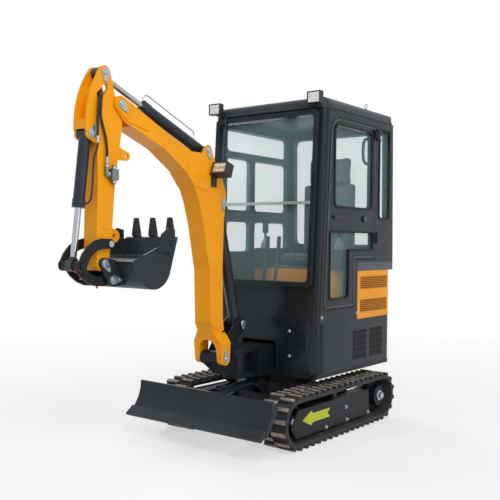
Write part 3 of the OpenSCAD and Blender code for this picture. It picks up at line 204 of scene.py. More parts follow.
def turned(name, profile, sides=24):
    """Round or many-sided piece about Z, grown ring by ring from pairs of radius and height."""
    bpy.ops.object.select_all(action="DESELECT")
    radius, height = profile[0]
    bpy.ops.mesh.primitive_circle_add(
        vertices=sides, radius=radius, fill_type="NGON", location=(0, 0, height))
    piece = bpy.context.object
    piece.name = name
    bpy.ops.object.mode_set(mode="EDIT")
    bpy.ops.mesh.select_all(action="SELECT")
    for next_radius, next_height in profile[1:]:
        bpy.ops.mesh.extrude_region_move(TRANSFORM_OT_translate={"value": (0, 0, next_height - height)})
        grow = next_radius / radius
        bpy.ops.transform.resize(value=(grow, grow, 1), center_override=(0, 0, next_height))
        radius, height = next_radius, next_height
    bpy.ops.mesh.select_all(action="SELECT")
    bpy.ops.mesh.normals_make_consistent(inside=False)
    bpy.ops.object.mode_set(mode="OBJECT")
    bpy.ops.object.transform_apply()
    return piece


def joined(pieces, name):
    """Joins pieces into the first one, with its place kept in its mesh."""
    bpy.ops.object.select_all(action="DESELECT")
    for piece in pieces:
        piece.select_set(True)
    bpy.context.view_layer.objects.active = pieces[0]
    if len(pieces) > 1:
        bpy.ops.object.join()
    bpy.ops.object.transform_apply()
    pieces[0].name = name
    return pieces[0]


def finish_piece(piece, material, body):
    """Gives a piece its finish, smooth shading up to 35 degrees and its body."""
    if not piece.data.materials:
        piece.data.materials.append(material)
    bpy.ops.object.select_all(action="DESELECT")
    piece.select_set(True)
    bpy.context.view_layer.objects.active = piece
    bpy.ops.object.shade_smooth_by_angle(angle=math.radians(35))
    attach(piece, body)
    return piece


def spread(model, name, spots, turn):
    """One piece from copies of a model at several places, all turned the same way."""
    copies = []
    for spot in spots:
        copy = model.copy()
        copy.data = model.data.copy()
        copy.location = spot
        copy.rotation_euler = turn
        bpy.context.collection.objects.link(copy)
        copies.append(copy)
    return joined(copies, name)


def hex_bolt(width):
    """Hex head with a chamfered top on a round washer, standing on the ground plane."""
    half = width / 2
    washer = turned("washer", [(half * 1.5, 0), (half * 1.5, half * 0.22), (half * 1.4, half * 0.3)], 20)
    head = turned("head", [(half, half * 0.2), (half, half * 0.95), (half * 0.84, half * 1.12)], 6)
    return joined([head, washer], "bolt")


cover_bolt = hex_bolt(0.019)
cover_places = [(-0.379, 0.078), (-0.083, 0.078), (0.183, 0.077), (-0.069, 0.167)]
for name, side, turn in (("cover_bolts_left", 1, TO_LEFT), ("cover_bolts_right", -1, TO_RIGHT)):
    bolts = spread(cover_bolt, name, [(x, side * COVER_Y, z) for x, z in cover_places], turn)
    finish_piece(bolts, zinc, "undercarriage")
bpy.data.objects.remove(cover_bolt)
hub_nut = hex_bolt(0.05)
for name, node, side, turn in (
    ("sprocket_nut_left", "sprockets", 1, TO_LEFT), ("sprocket_nut_right", "sprockets", -1, TO_RIGHT),
    ("idler_nut_left", "idlers", 1, TO_LEFT), ("idler_nut_right", "idlers", -1, TO_RIGHT),
):
    wheel_low, wheel_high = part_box(node)
    hub = spread(hub_nut, name, [((wheel_low[0] + wheel_high[0]) / 2, side * wheel_high[1], AXLE_Z)], turn)
    finish_piece(hub, zinc, "undercarriage")
bpy.data.objects.remove(hub_nut)

# Travel arrows
# Yellow-green vinyl film cut as a swallow-tailed arrow and stuck to each track cover, pointing forward.
# A strip is extruded edge by edge into shaft and head, then given the film's thickness.


def applied(piece, kind, **settings):
    """Adds a modifier with its settings to the active piece and applies it."""
    modifier = piece.modifiers.new("shaping", kind)
    for key, value in settings.items():
        setattr(modifier, key, value)
    bpy.ops.object.modifier_apply(modifier="shaping")


def pick(piece, test):
    """Goes to edit mode with only those vertices selected whose place passes a test."""
    bpy.ops.object.mode_set(mode="EDIT")
    bpy.ops.mesh.select_mode(type="VERT")
    bpy.ops.mesh.select_all(action="DESELECT")
    bpy.ops.object.mode_set(mode="OBJECT")
    for vertex in piece.data.vertices:
        vertex.select = test(vertex.co)
    bpy.ops.object.mode_set(mode="EDIT")


arrow_film = mottled("yellow_green_vinyl", ("#b0b712", "#c2c81c"), (0.3, 0.5), 25.0, IOR=1.45)
ARROW_TAIL, ARROW_NECK, ARROW_TIP = 0.135, 0.345, 0.464
ARROW_Z = 0.168
SHAFT_HALF, HEAD_HALF, BARB, NOTCH = 0.029, 0.047, 0.018, 0.033
TIP_SHARE, FILM_T, NEAR = 0.02, 0.0008, 0.001
for name, side in (("travel_arrow_left", 1), ("travel_arrow_right", -1)):
    arrow_y = side * COVER_Y
    bpy.ops.object.select_all(action="DESELECT")
    bpy.ops.mesh.primitive_grid_add(
        x_subdivisions=1, y_subdivisions=2, size=1, rotation=(math.pi / 2, 0, 0),
        location=((ARROW_TAIL + ARROW_NECK) / 2, arrow_y, ARROW_Z))
    arrow = bpy.context.object
    arrow.scale = (ARROW_NECK - ARROW_TAIL, 2 * SHAFT_HALF, 1)
    bpy.ops.object.transform_apply()
    pick(arrow, lambda at: at.x > ARROW_NECK - NEAR)
    bpy.ops.mesh.extrude_region_move(TRANSFORM_OT_translate={"value": (BARB, 0, 0)})
    barbs = (ARROW_NECK + BARB, arrow_y, ARROW_Z)
    bpy.ops.transform.resize(value=(1, 1, HEAD_HALF / SHAFT_HALF), center_override=barbs)
    bpy.ops.mesh.extrude_region_move(
        TRANSFORM_OT_translate={"value": (ARROW_TIP - ARROW_NECK - BARB, 0, 0)})
    bpy.ops.transform.resize(value=(1, 1, TIP_SHARE), center_override=(ARROW_TIP, arrow_y, ARROW_Z))
    pick(arrow, lambda at: at.x < ARROW_TAIL + NEAR and abs(at.z - ARROW_Z) < NEAR)
    bpy.ops.transform.translate(value=(NOTCH, 0, 0))
    bpy.ops.object.mode_set(mode="OBJECT")
    applied(arrow, "SOLIDIFY", thickness=FILM_T, offset=-side)
    arrow.name = name
    finish_piece(arrow, arrow_film, "undercarriage")

# Dozer blade and bucket
# Rolled and welded plate, painted dark grey after welding, with scuffs from the shop floor.
# The cutting edge and the teeth are bolted or welded on.
plate_grey = coated_steel("dark_plate_paint", ("#1f252b", "#2a3138"), "#737a82", "#4a4843", 0.4, 0.02, 0.6)
put_on(plate_grey, ["blade", "blade_edge", "bucket", "bucket_teeth"])

# House and cab shell
# Pressed and welded sheet steel, sprayed in gloss charcoal black, with a cast rear weight.
# The hood is a separate sprayed cover in the machine's orange-yellow.
cab_black = coated_steel("charcoal_cab_enamel", ("#131a20", "#1c242b"), "#56606a", "#3f4143", 0.24, 0.08, 0.2)
put_on(cab_black, ["lower_body", "counterweight", "cab_left", "cab_right", "cab_front", "cab_rear", "door"])
# The roof's slate grey is lighter than the cab's black: partly the roof's own grey tone, partly painted light
# for the light the roof catches from above.
roof_grey_and_painted_light = coated_steel("slate_roof_enamel_and_painted_light", ("#30373f", "#3b434c"), "#737b85", "#565a5e", 0.34, 0.05, 0.2)
put_on(roof_grey_and_painted_light, ["roof"])
# The same lighter grey also paints the door bead, where it is a painted highlight along the door's edge.
ledge_paint_and_bead_highlight = coated_steel("ledge_enamel_and_painted_bead_highlight", ("#474d54", "#53595f"), "#848a90", "#656462", 0.35, 0.05)
put_on(ledge_paint_and_bead_highlight, ["cab_base"])
enamel = coated_steel("orange_yellow_enamel", ("#ec9602", "#f5a204"), "#ffc65c", "#d99a3c", 0.3, 0.06, 0.25)
put_on(enamel, ["hood", "boom", "arm"])
iron = coated_steel("engine_casting", ("#3a3b3d", "#46474a"), "#77797c", "#4d4a45", 0.6, 0.0)
put_on(iron, ["engine"])

# Hood grilles and body vents
# Expanded steel sheet: one diamond cell is cut from a plate, repeated both ways and given its thickness.
# The hood's two sheets lie sunk before a dull black sound felt; the vents are screwed over their slots.
HOOD_CELL, VENT_CELL = 0.0134, 0.0106
SHEET_T, STRAND_SHARE = 0.0014, 0.18
FELT_T, FELT_CORNER = 0.001, 0.008


def expanded_sheet(name, low, high, cell, outer_y):
    """Sheet of diamond holes in the XZ plane, from its low to its high corner, with its back at outer_y."""
    columns = round((high[0] - low[0]) / cell)
    rows = round((high[1] - low[1]) / cell)
    wide, tall = (high[0] - low[0]) / columns, (high[1] - low[1]) / rows
    middle = (low[0] + wide / 2, outer_y, low[1] + tall / 2)
    bpy.ops.object.select_all(action="DESELECT")
    bpy.ops.mesh.primitive_plane_add(size=1, location=middle, rotation=(math.pi / 2, 0, 0))
    sheet = bpy.context.object
    sheet.scale = (wide, tall, 1)
    bpy.ops.object.transform_apply()
    bpy.ops.object.mode_set(mode="EDIT")
    bpy.ops.mesh.select_all(action="SELECT")
    bpy.ops.mesh.inset(thickness=cell * STRAND_SHARE)
    bpy.ops.transform.rotate(value=math.pi / 4, orient_axis="Y", center_override=middle)
    bpy.ops.mesh.delete(type="FACE")
    bpy.ops.object.mode_set(mode="OBJECT")
    for count, step in ((columns, (wide, 0, 0)), (rows, (0, 0, tall))):
        applied(sheet, "ARRAY", count=count, use_relative_offset=False, use_constant_offset=True,
                constant_offset_displace=step, use_merge_vertices=True, merge_threshold=cell / 100)
    applied(sheet, "SOLIDIFY", thickness=SHEET_T, offset=0)
    sheet.name = name
    return sheet


def block(size, middle=(0, 0, 0)):
    """Block of a given size about its middle, to be worked on."""
    bpy.ops.object.select_all(action="DESELECT")
    bpy.ops.mesh.primitive_cube_add(size=1, location=middle)
    piece = bpy.context.object
    piece.scale = size
    bpy.ops.object.transform_apply()
    return piece


def felt(name, low, high, y):
    """Thin backing panel with rounded corners in the XZ plane."""
    backing = block((high[0] - low[0], FELT_T, high[1] - low[1]),
                    ((low[0] + high[0]) / 2, y, (low[1] + high[1]) / 2))
    applied(backing, "BEVEL", width=FELT_CORNER, segments=3)
    backing.name = name
    return backing


dark_felt = mottled("black_sound_felt", ("#0d0c0b", "#2a2521"), (0.85, 1.0), 500.0, 6.0,
                    Specular_IOR_Level=0.1)
grille_enamel = coated_steel("thin_grille_enamel", ("#b8700e", "#c87c12"), "#e0a24a", "#a9783a",
                             0.4, 0.02, 0.25)
HOUSE_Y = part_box("hood")[1][1]
FIELD_Y = HOUSE_Y - 0.004
GRILLE_OUT, FELT_OUT, VENT_OUT = 0.0024, 0.0008, 0.0008
SCREW_OUT, RIM = 0.0012, 0.008
for row, (low_z, high_z) in enumerate(((0.797, 0.879), (0.959, 1.041))):
    low, high = (-0.676, low_z), (-0.286, high_z)
    grille = expanded_sheet(f"hood_grille_{row}", low, high, HOOD_CELL, FIELD_Y + GRILLE_OUT)
    finish_piece(grille, grille_enamel, "house")
    backing = felt(f"hood_felt_{row}", low, high, FIELD_Y + FELT_OUT)
    finish_piece(backing, dark_felt, "house")
vent_bolt = hex_bolt(0.009)
vent_places = [((-0.612, 0.470), (-0.428, 0.672)), ((-0.372, 0.470), (-0.188, 0.672))]
for row, (low, high) in enumerate(vent_places):
    vent = expanded_sheet(f"body_vent_{row}", low, high, VENT_CELL, HOUSE_Y + VENT_OUT)
    finish_piece(vent, frame_black, "house")
    rim = [(x, HOUSE_Y + SCREW_OUT, z) for x in (low[0] + RIM, high[0] - RIM)
           for z in (low[1] + RIM, (low[1] + high[1]) / 2, high[1] - RIM)]
    bolts = spread(vent_bolt, f"vent_screws_{row}", rim, TO_LEFT)
    finish_piece(bolts, frame_black, "house")
bpy.data.objects.remove(vent_bolt)

# Panel screws
# Zinc plated hex screws hold the sill strip under the door and the front corner panel.
# Larger ones, painted over with the bucket, hold its side cutters. Each group is copied from one bolt.
sill_screw = hex_bolt(0.016)
sill_places = [(0.227, HOUSE_Y, 0.793), (-0.231, HOUSE_Y, 0.793)]
screws = spread(sill_screw, "sill_screws", sill_places, TO_LEFT)
finish_piece(screws, zinc, "house")
BODY_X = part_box("lower_body")[1][0]
corner_places = [(BODY_X, 0.254, 0.693), (BODY_X, 0.256, 0.529)]
screws = spread(sill_screw, "corner_screws", corner_places, TO_FRONT)
finish_piece(screws, zinc, "house")
bpy.data.objects.remove(sill_screw)
cutter_bolt = hex_bolt(0.022)
for name, side, turn in (("cutter_bolts_left", 1, TO_LEFT), ("cutter_bolts_right", -1, TO_RIGHT)):
    bucket_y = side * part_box("bucket")[1][1]
    bolts = spread(cutter_bolt, name, [(1.366, bucket_y, 1.265), (1.388, bucket_y, 1.222)], turn)
    finish_piece(bolts, plate_grey, "bucket")
bpy.data.objects.remove(cutter_bolt)

# Window seals
# Extruded strips of matt black rubber round the side and rear panes, pressed over the edges of the panels.
# A plate with rounded corners is inset to a ring and thickened.
SEAL_LIP, SEAL_LAP, SEAL_PROUD = 0.012, 0.004, 0.005


def window_seal(name, low, high, radius, at, turn):
    """Ring with rounded corners about a window, low and high in the window's own plane."""
    bpy.ops.object.select_all(action="DESELECT")
    bpy.ops.mesh.primitive_plane_add(size=1)
    seal = bpy.context.object
    seal.scale = (high[0] - low[0] + 2 * SEAL_LIP, high[1] - low[1] + 2 * SEAL_LIP, 1)
    seal.location = ((low[0] + high[0]) / 2, (low[1] + high[1]) / 2, 0)
    bpy.ops.object.transform_apply()
    bpy.ops.object.mode_set(mode="EDIT")
    bpy.ops.mesh.select_all(action="SELECT")
    bpy.ops.mesh.bevel(offset=radius + SEAL_LIP, segments=8, affect="VERTICES")
    bpy.ops.mesh.inset(thickness=SEAL_LIP + SEAL_LAP)
    bpy.ops.mesh.delete(type="FACE")
    bpy.ops.object.mode_set(mode="OBJECT")
    applied(seal, "SOLIDIFY", thickness=SEAL_PROUD, offset=1)
    seal.location = at
    seal.rotation_euler = turn
    bpy.ops.object.transform_apply()
    seal.name = name
    return seal


rubber = mottled("black_seal_rubber", ("#0c0c0d", "#1d1d1e"), (0.5, 0.75), 30.0,
                 IOR=1.5, Specular_IOR_Level=0.3)
DOOR_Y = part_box("door_glass")[1][1] + 0.017
ON_LEFT = (math.pi / 2, 0.0, math.pi)
ON_RIGHT = (math.pi / 2, 0.0, 0.0)
seal = window_seal("door_seal", (-0.082, 1.525), (0.43, 2.068), 0.04, (0, DOOR_Y, 0), ON_LEFT)
finish_piece(seal, rubber, "door")
seal = window_seal("quarter_seal", (0.542, 1.465), (0.698, 2.108), 0.025, (0, HOUSE_Y, 0), ON_LEFT)
finish_piece(seal, rubber, "house")
right_panes = [
    ((-0.678, 1.205), (-0.229, 1.433)), ((-0.183, 1.205), (0.108, 1.433)),
    ((-0.678, 1.515), (-0.229, 1.903)), ((-0.183, 1.515), (0.108, 1.903)), ((-0.678, 1.949), (0.108, 2.108)),
]
for row, (low, high) in enumerate(right_panes):
    seal = window_seal(f"right_seal_{row}", low, high, 0.034, (0, -HOUSE_Y, 0), ON_RIGHT)
    finish_piece(seal, rubber, "house")
REAR_FOOT, REAR_LEAN = (-0.7702, 0, 1.145), math.atan2(0.02, 1.023)
ON_BACK = (math.pi / 2 - REAR_LEAN, 0.0, -math.pi / 2)
seal = window_seal("rear_seal", (-0.4, 0.12), (0.4, 0.963), 0.045, REAR_FOOT, ON_BACK)
finish_piece(seal, rubber, "house")

# Windscreen rail
# Drawn aluminium rail that joins the two panes of the windscreen, clipped over the transom of the cab front.
# It is a flat bar whose edges are broken.
RAIL_X, RAIL_Z = 0.2665, 1.542
RAIL_DEEP, RAIL_HALF, RAIL_TALL = 0.005, 0.398, 0.02
RAIL_EDGE = 0.0006
rail = block((RAIL_DEEP, 2 * RAIL_HALF, RAIL_TALL), (RAIL_X, 0, RAIL_Z))
applied(rail, "BEVEL", width=RAIL_EDGE, segments=2)
rail.name = "windscreen_rail"
aluminium = bare_metal("drawn_aluminium", ("#8f9698", "#b3b9ba"), (0.35, 0.5), 140.0)
finish_piece(rail, aluminium, "house")

# Window panes
# Toughened float glass with a slight green tint, bonded into rubber seals.
# It is mostly open to view, and wiping has left smears in its gloss.
glass = mottled("green_tinted_glass", ("#84b0ae", "#95bdbb"), (0.02, 0.07), 6.0, 5.0,
                IOR=1.5, Alpha=0.14, Specular_IOR_Level=0.8)
put_on(glass, ["windscreen", "side_glass", "rear_glass", "door_glass"])

# Moulded fittings
# Levers, consoles, lamp bodies, wiper, handle and floor, moulded in black glass-filled plastic.
# The mould's fine spark-eroded grain shows. They are screwed or clipped to the cab and the boom.


def moulded_plastic(name, low, high, roughness, grain_size):
    """Moulded plastic: even colour, satin gloss and a fine grain, drawn coarse enough to show."""
    material, shader, place = new_material(name, IOR=1.46)
    grain = add_node(material, "TexVoronoi", {"Scale": 1 / grain_size}, {"Vector": place})
    haze = add_node(material, "TexNoise", {"Scale": 12.0, "Detail": 3.0}, {"Vector": place})
    base = blend_colour(material, haze.outputs["Fac"], low, high)
    rough = add_node(material, "MapRange", {3: roughness - 0.05, 4: roughness + 0.1},
                     {0: haze.outputs["Fac"]})
    bump = add_node(material, "Bump", {"Strength": 0.2, "Distance": 0.0005},
                    {"Height": grain.outputs["Distance"]})
    return dressed(material, shader, base, rough, bump)


plastic = moulded_plastic("black_moulded_plastic", "#17181a", "#222326", 0.45, 0.003)
put_on(plastic, ["cab_floor", "consoles", "levers", "roof_lamps", "wiper", "door_handle", "boom_lamp"])

# Seat
# Foam pads in charcoal vinyl, with a headrest on two zinc plated posts.
# Each pad is a rounded block blown up as a cloth bag, pressed in along its sewn channels and piped.
PAD_SWELL, PAD_ROUND, PAD_GRID = 0.012, 0.03, 0.007
PAD_PRESSURE, PAD_FRAMES = 4.0, 20
FACE_SHARE, SIDE_SHARE = 1.7, 0.8
CHANNEL_DEEP, CHANNEL_WIDE = 0.008, 0.011
PIPE_IN, PIPE_REACH, PIPE_R = 0.012, 0.04, 0.004


def tube(name, points, radius, closed=False, bend="AUTO"):
    """Round line of even thickness on one curve through its points, smooth or with straight runs."""
    bpy.ops.object.select_all(action="DESELECT")
    bpy.ops.curve.primitive_bezier_curve_add()
    line = bpy.context.object
    line.name = name
    line.data.bevel_depth = radius
    line.data.bevel_resolution = 4
    line.data.resolution_u = 6
    line.data.use_fill_caps = True
    line.data.splines[0].use_cyclic_u = closed
    knots = line.data.splines[0].bezier_points
    knots.add(len(points) - len(knots))
    for knot, point in zip(knots, points):
        knot.co = point
        knot.handle_left_type = knot.handle_right_type = bend
    return line


def solid_tube(name, points, radius, closed=False, bend="AUTO"):
    """The same line as a mesh."""
    line = tube(name, points, radius, closed, bend)
    bpy.ops.object.convert(target="MESH")
    return line


def sewn_vinyl():
    """Upholstery vinyl: charcoal, satin, with a pebbled grain and paler rubbed crowns."""
    material, shader, place = new_material("charcoal_seat_vinyl", IOR=1.48, Specular_IOR_Level=0.4)
    grain = add_node(material, "TexVoronoi", {"Scale": 320.0}, {"Vector": place})
    rub = add_node(material, "TexNoise", {"Scale": 9.0, "Detail": 4.0}, {"Vector": place})
    tint = blend_colour(material, rub.outputs["Fac"], "#2b3033", "#434a4d")
    rough = add_node(material, "MapRange", {3: 0.42, 4: 0.6}, {0: rub.outputs["Fac"]})
    bump = add_node(material, "Bump", {"Strength": 0.25, "Distance": 0.0008},
                    {"Height": grain.outputs["Distance"]})
    return dressed(material, shader, tint, rough, bump)


def stuffed(name, low, high, facing, channels):
    """Padded block between two corners, with channels pressed into the side that faces one axis."""
    middle = [(a + b) / 2 for a, b in zip(low, high)]
    room = [(FACE_SHARE if axis == facing else SIDE_SHARE) * PAD_SWELL for axis in range(3)]
    pad = block([b - a - less for a, b, less in zip(low, high, room)], middle)
    applied(pad, "BEVEL", width=PAD_ROUND, segments=4)
    applied(pad, "REMESH", mode="VOXEL", voxel_size=PAD_GRID)
    start = [vertex.co.copy() for vertex in pad.data.vertices]
    bag = pad.modifiers.new("stuffing", "CLOTH")
    bag.settings.use_pressure = True
    bag.settings.uniform_pressure_force = PAD_PRESSURE
    bag.settings.effector_weights.gravity = 0.0
    for number in range(1, PAD_FRAMES + 1):
        bpy.context.scene.frame_set(number)
    bpy.ops.object.modifier_apply(modifier="stuffing")
    bpy.context.scene.frame_set(1)
    for vertex, before in zip(pad.data.vertices, start):
        move = vertex.co - before
        if move.length > PAD_SWELL:
            vertex.co = before + move * (PAD_SWELL / move.length)
        if vertex.co[facing] > middle[facing]:
            for channel in channels:
                off = (abs(vertex.co.y) - channel) / CHANNEL_WIDE
                vertex.co[facing] -= CHANNEL_DEEP * math.exp(-off * off)
    applied(pad, "SUBSURF", levels=1)
    pad.name = name
    return finish_piece(pad, vinyl, "house")


def round_path(corners):
    """Points round a closed outline with rounded corners, each given as two places and a reach."""
    path = []
    for index, (across, up, reach) in enumerate(corners):
        here = Vector((across, up))
        back = (Vector(corners[index - 1][:2]) - here).normalized() * reach
        ahead = (Vector(corners[(index + 1) % len(corners)][:2]) - here).normalized() * reach
        path += [here + back * (1 - step / 6) ** 2 + ahead * (step / 6) ** 2 for step in range(7)]
    return path


def piping(pad, name, low, high, axis, at):
    """Welt cord round a pad's face, which looks along an axis, laid on the pad's own skin."""
    low, high = [c + PIPE_IN for c in low], [c - PIPE_IN for c in high]
    corners = [(low[0], low[1]), (high[0], low[1]), (high[0], high[1]), (low[0], high[1])]
    loop = []
    for across, up in round_path([(*corner, PIPE_REACH) for corner in corners]):
        point = [across, up]
        point.insert(axis, at)
        loop.append(pad.closest_point_on_mesh(Vector(point))[1])
    return finish_piece(solid_tube(name, loop, PIPE_R, True, "VECTOR"), vinyl, "house")


vinyl = sewn_vinyl()
cushion = stuffed("seat_cushion", (-0.62, -0.23, 1.105), (-0.24, 0.23, 1.195), 2, (0.0, 0.14))
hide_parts("seat")
piping(cushion, "cushion_piping", (-0.62, -0.23), (-0.24, 0.23), 2, 1.195)
back = stuffed("seat_back", (-0.68, -0.23, 1.185), (-0.57, 0.23, 1.745), 0, (0.0, 0.14))
piping(back, "back_piping", (-0.23, 1.185), (0.23, 1.745), 0, -0.57)
rest = stuffed("headrest", (-0.68, -0.185, 1.712), (-0.585, 0.185, 1.94), 0, (0.11,))
piping(rest, "headrest_piping", (-0.185, 1.712), (0.185, 1.94), 0, -0.585)
POST_R = 0.006
for name, y in (("headrest_post_left", 0.05), ("headrest_post_right", -0.05)):
    post = solid_tube(name, [(-0.635, y, 1.71), (-0.635, y, 1.755), (-0.633, y, 1.80)], POST_R)
    finish_piece(post, zinc, "house")

# Door beads and lower window seal
# A pressed bead stiffens the door near its edge, and a rubber strip holds the stepped lower pane.
# Each is a closed line with round corners, swept round on the door's outer face.
BEAD_R, STRIP_R, STRIP_OUT = 0.0045, 0.007, 0.001
door_edge = [(0.196, 0.854, 0.03), (0.132, 1.960, 0.05), (0.128, 2.104, 0.12), (-0.471, 2.104, 0.03),
             (-0.471, 1.184, 0.03), (-0.181, 1.184, 0.03), (-0.181, 0.854, 0.03)]
bead_path = [(x, HOUSE_Y, z) for x, z in round_path(door_edge)]
bead = solid_tube("door_bead", bead_path, BEAD_R, True, "VECTOR")
# The bead is painted in the lighter ledge grey rather than the door's black, as a painted highlight along the
# door's edge.
finish_piece(bead, ledge_paint_and_bead_highlight, "door")
lower_pane = [(0.137, 0.908, 0.025), (0.137, 1.357, 0.025), (-0.452, 1.357, 0.025), (-0.452, 1.233, 0.025),
              (-0.112, 1.233, 0.025), (-0.112, 0.908, 0.025)]
strip_path = [(x, HOUSE_Y + STRIP_OUT, z) for x, z in round_path(lower_pane)]
strip = solid_tube("lower_door_seal", strip_path, STRIP_R, True, "VECTOR")
finish_piece(strip, rubber, "door")

# Door lock
# Turned and zinc plated bezel with its lock barrel, pressed into the round boss behind the door's handle.
# Both are grown ring by ring and joined.
BEZEL = [(0.0210, 0.0), (0.0210, 0.0030), (0.0185, 0.0050), (0.0130, 0.0035), (0.0120, 0.0012)]
BARREL = [(0.0090, 0.0005), (0.0090, 0.0040), (0.0080, 0.0050), (0.0030, 0.0050), (0.0022, 0.0030)]
handle_low, handle_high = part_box("door_handle")
BOSS_R, BOSS_Y = 0.024, HOUSE_Y + 0.010
lock = joined([turned("bezel", BEZEL, 28), turned("barrel", BARREL, 16)], "lock")
lock_spot = (handle_low[0] + BOSS_R, BOSS_Y, (handle_low[2] + handle_high[2]) / 2)
dull_zinc = bare_metal("dull_zinc", ("#4d5356", "#6d7376"), (0.4, 0.55), 120.0)
finish_piece(spread(lock, "door_lock", [lock_spot], TO_LEFT), dull_zinc, "door")
bpy.data.objects.remove(lock)

# Hood corner panels
# Bent steel strips that close the rounded rear corners of the hood, in the hood's paint.
# A ring of edges is cut to an arc, raised and given the sheet's thickness.
HOOD_REAR, CORNER_R, CORNER_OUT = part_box("hood")[0][0], 0.08, 0.0002
ARC_FROM, ARC_TO = 0.45, 1.12
PANEL_FOOT, PANEL_TALL, PANEL_T = 0.7515, 0.2665, 0.0016
for name, side in (("hood_corner_left", 1), ("hood_corner_right", -1)):
    bpy.ops.object.select_all(action="DESELECT")
    centre = Vector((HOOD_REAR + CORNER_R, side * (HOUSE_Y - CORNER_R), PANEL_FOOT))
    bpy.ops.mesh.primitive_circle_add(vertices=96, radius=CORNER_R + CORNER_OUT, location=centre)
    bpy.ops.object.transform_apply()
    corner = bpy.context.object
    pick(corner, lambda at: not ARC_FROM < math.atan2(side * (at.y - centre.y), centre.x - at.x) < ARC_TO)
    bpy.ops.mesh.delete(type="VERT")
    bpy.ops.mesh.select_all(action="SELECT")
    bpy.ops.mesh.extrude_region_move(TRANSFORM_OT_translate={"value": (0, 0, PANEL_TALL)})
    bpy.ops.object.mode_set(mode="OBJECT")
    applied(corner, "SOLIDIFY", thickness=PANEL_T, offset=0)
    corner.name = name
    finish_piece(corner, enamel, "house")

# Joystick gaiters
# Pale grey rubber bellows over the foot of each joystick, clipped to the consoles.
# One profile with ribs is grown ring by ring and copied.
GAITER = [(0.037, 0.0), (0.037, 0.006), (0.031, 0.012), (0.036, 0.018), (0.030, 0.024), (0.034, 0.030),
          (0.0285, 0.036), (0.032, 0.042), (0.020, 0.050), (0.023, 0.056), (0.014, 0.063), (0.0165, 0.069),
          (0.0115, 0.077)]
grey_rubber = moulded_plastic("grey_bellows_rubber", "#75797b", "#8b9092", 0.6, 0.004)
bellows = turned("bellows", GAITER, 28)
for name, y in (("gaiter_left", 0.325), ("gaiter_right", -0.325)):
    gaiter = spread(bellows, name, [(-0.23, y, 1.2352)], UPRIGHT)
    finish_piece(gaiter, grey_rubber, "house")
bpy.data.objects.remove(bellows)

# Lamp lenses
# Each work lamp has a bright reflector plate with two rows of three cups, and a light chip in each cup.
# One cup and one chip are grown ring by ring and copied; the plates lie in the lamps' sunk faces.
CUP = [(0.0125, 0.0), (0.0125, 0.0036), (0.0115, 0.0036), (0.0055, 0.0012), (0.0050, 0.0010)]
CHIP = [(0.0042, 0.0008), (0.0042, 0.0018), (0.0030, 0.0026), (0.0012, 0.0030)]
CUP_OUT, PLATE_T, PLATE_EDGE = 0.0004, 0.0012, 0.0004
reflector = mottled("bright_reflector", ("#c2c4c8", "#e8e9ec"), (0.15, 0.4), 160.0, 2.0, Metallic=0.85)
phosphor = moulded_plastic("pale_light_chip", "#efe3c0", "#f7efd6", 0.3, 0.001)
cup = turned("cup", CUP, 20)
chip = turned("chip", CHIP, 12)
STEEP = math.radians(18)
LENS_AHEAD, LENS_UP = 0.0655, 0.037
BOOM_LENS = Vector((0.823 + LENS_AHEAD * math.cos(STEEP) - LENS_UP * math.sin(STEEP), 0.131,
                    1.675 + LENS_AHEAD * math.sin(STEEP) + LENS_UP * math.cos(STEEP)))
for name, spot, lean, wide, tall, body in (
    ("roof_lens_left", Vector((0.2756, 0.418, 2.223)), 0.0, 0.086, 0.064, "house"),
    ("roof_lens_right", Vector((0.2756, -0.418, 2.223)), 0.0, 0.086, 0.064, "house"),
    ("boom_lens", BOOM_LENS, STEEP, 0.096, 0.06, "boom"),
):
    spots = [((column - 1) * wide / 3, (row - 0.5) * tall / 2, CUP_OUT)
             for column in range(3) for row in range(2)]
    cups = spread(cup, "cups", spots, UPRIGHT)
    chips = spread(chip, name + "_chips", spots, UPRIGHT)
    plate = block((wide, tall, PLATE_T))
    applied(plate, "BEVEL", width=PLATE_EDGE)
    lens = joined([plate, cups], name)
    facing = Matrix(((0.0, -math.sin(lean), math.cos(lean)), (1.0, 0.0, 0.0),
                     (0.0, math.cos(lean), math.sin(lean))))
    for piece, finish in ((lens, reflector), (chips, phosphor)):
        piece.data.transform(Matrix.Translation(spot) @ facing.to_4x4())
        finish_piece(piece, finish, body)
bpy.data.objects.remove(cup)
bpy.data.objects.remove(chip)

# Hydraulic cylinders
# Honed steel tubes in gloss blue-black with hard chromed, polished rods, whose welded eyes are painted.
# Formed steel pipes run along the bucket cylinder and over the arm cylinder.
barrel_black = coated_steel("gloss_barrel_paint", ("#1a222c", "#252f3b"), "#56606c", "#3f444b", 0.2, 0.2, 0.2)
put_on(barrel_black, ["boom_barrel", "arm_barrel", "bucket_barrel", "blade_barrel"])
EYE_REACH, PAINT_FADE = 0.046, 0.001


def chromed_rod(name, eye):
    """Polished hard chrome with fine drag marks, turning to dark paint within reach of the rod's eye."""
    material, shader, place = new_material(name, IOR=1.5)
    marks = add_node(material, "TexNoise", {"Scale": 30.0, "Detail": 4.0}, {"Vector": place})
    bright = blend_colour(material, marks.outputs["Fac"], "#9da3ab", "#b8bdc4")
    off = add_node(material, "VectorMath", {"operation": "DISTANCE", 1: eye}, {0: place})
    past = add_node(material, "MapRange", {1: EYE_REACH, 2: EYE_REACH + PAINT_FADE},
                    {0: off.outputs["Value"]})
    dark = blend_colour(material, marks.outputs["Fac"], "#14181d", "#20252b")
    tint = blend_colour(material, past.outputs[0], dark, bright)
    polish = add_node(material, "MapRange", {3: 0.1, 4: 0.2}, {0: marks.outputs["Fac"]})
    rough = add_node(material, "Mix", {2: 0.42}, {0: past.outputs[0], 3: polish.outputs[0]})
    material.node_tree.links.new(past.outputs[0], shader.inputs["Metallic"])
    return dressed(material, shader, tint, rough)


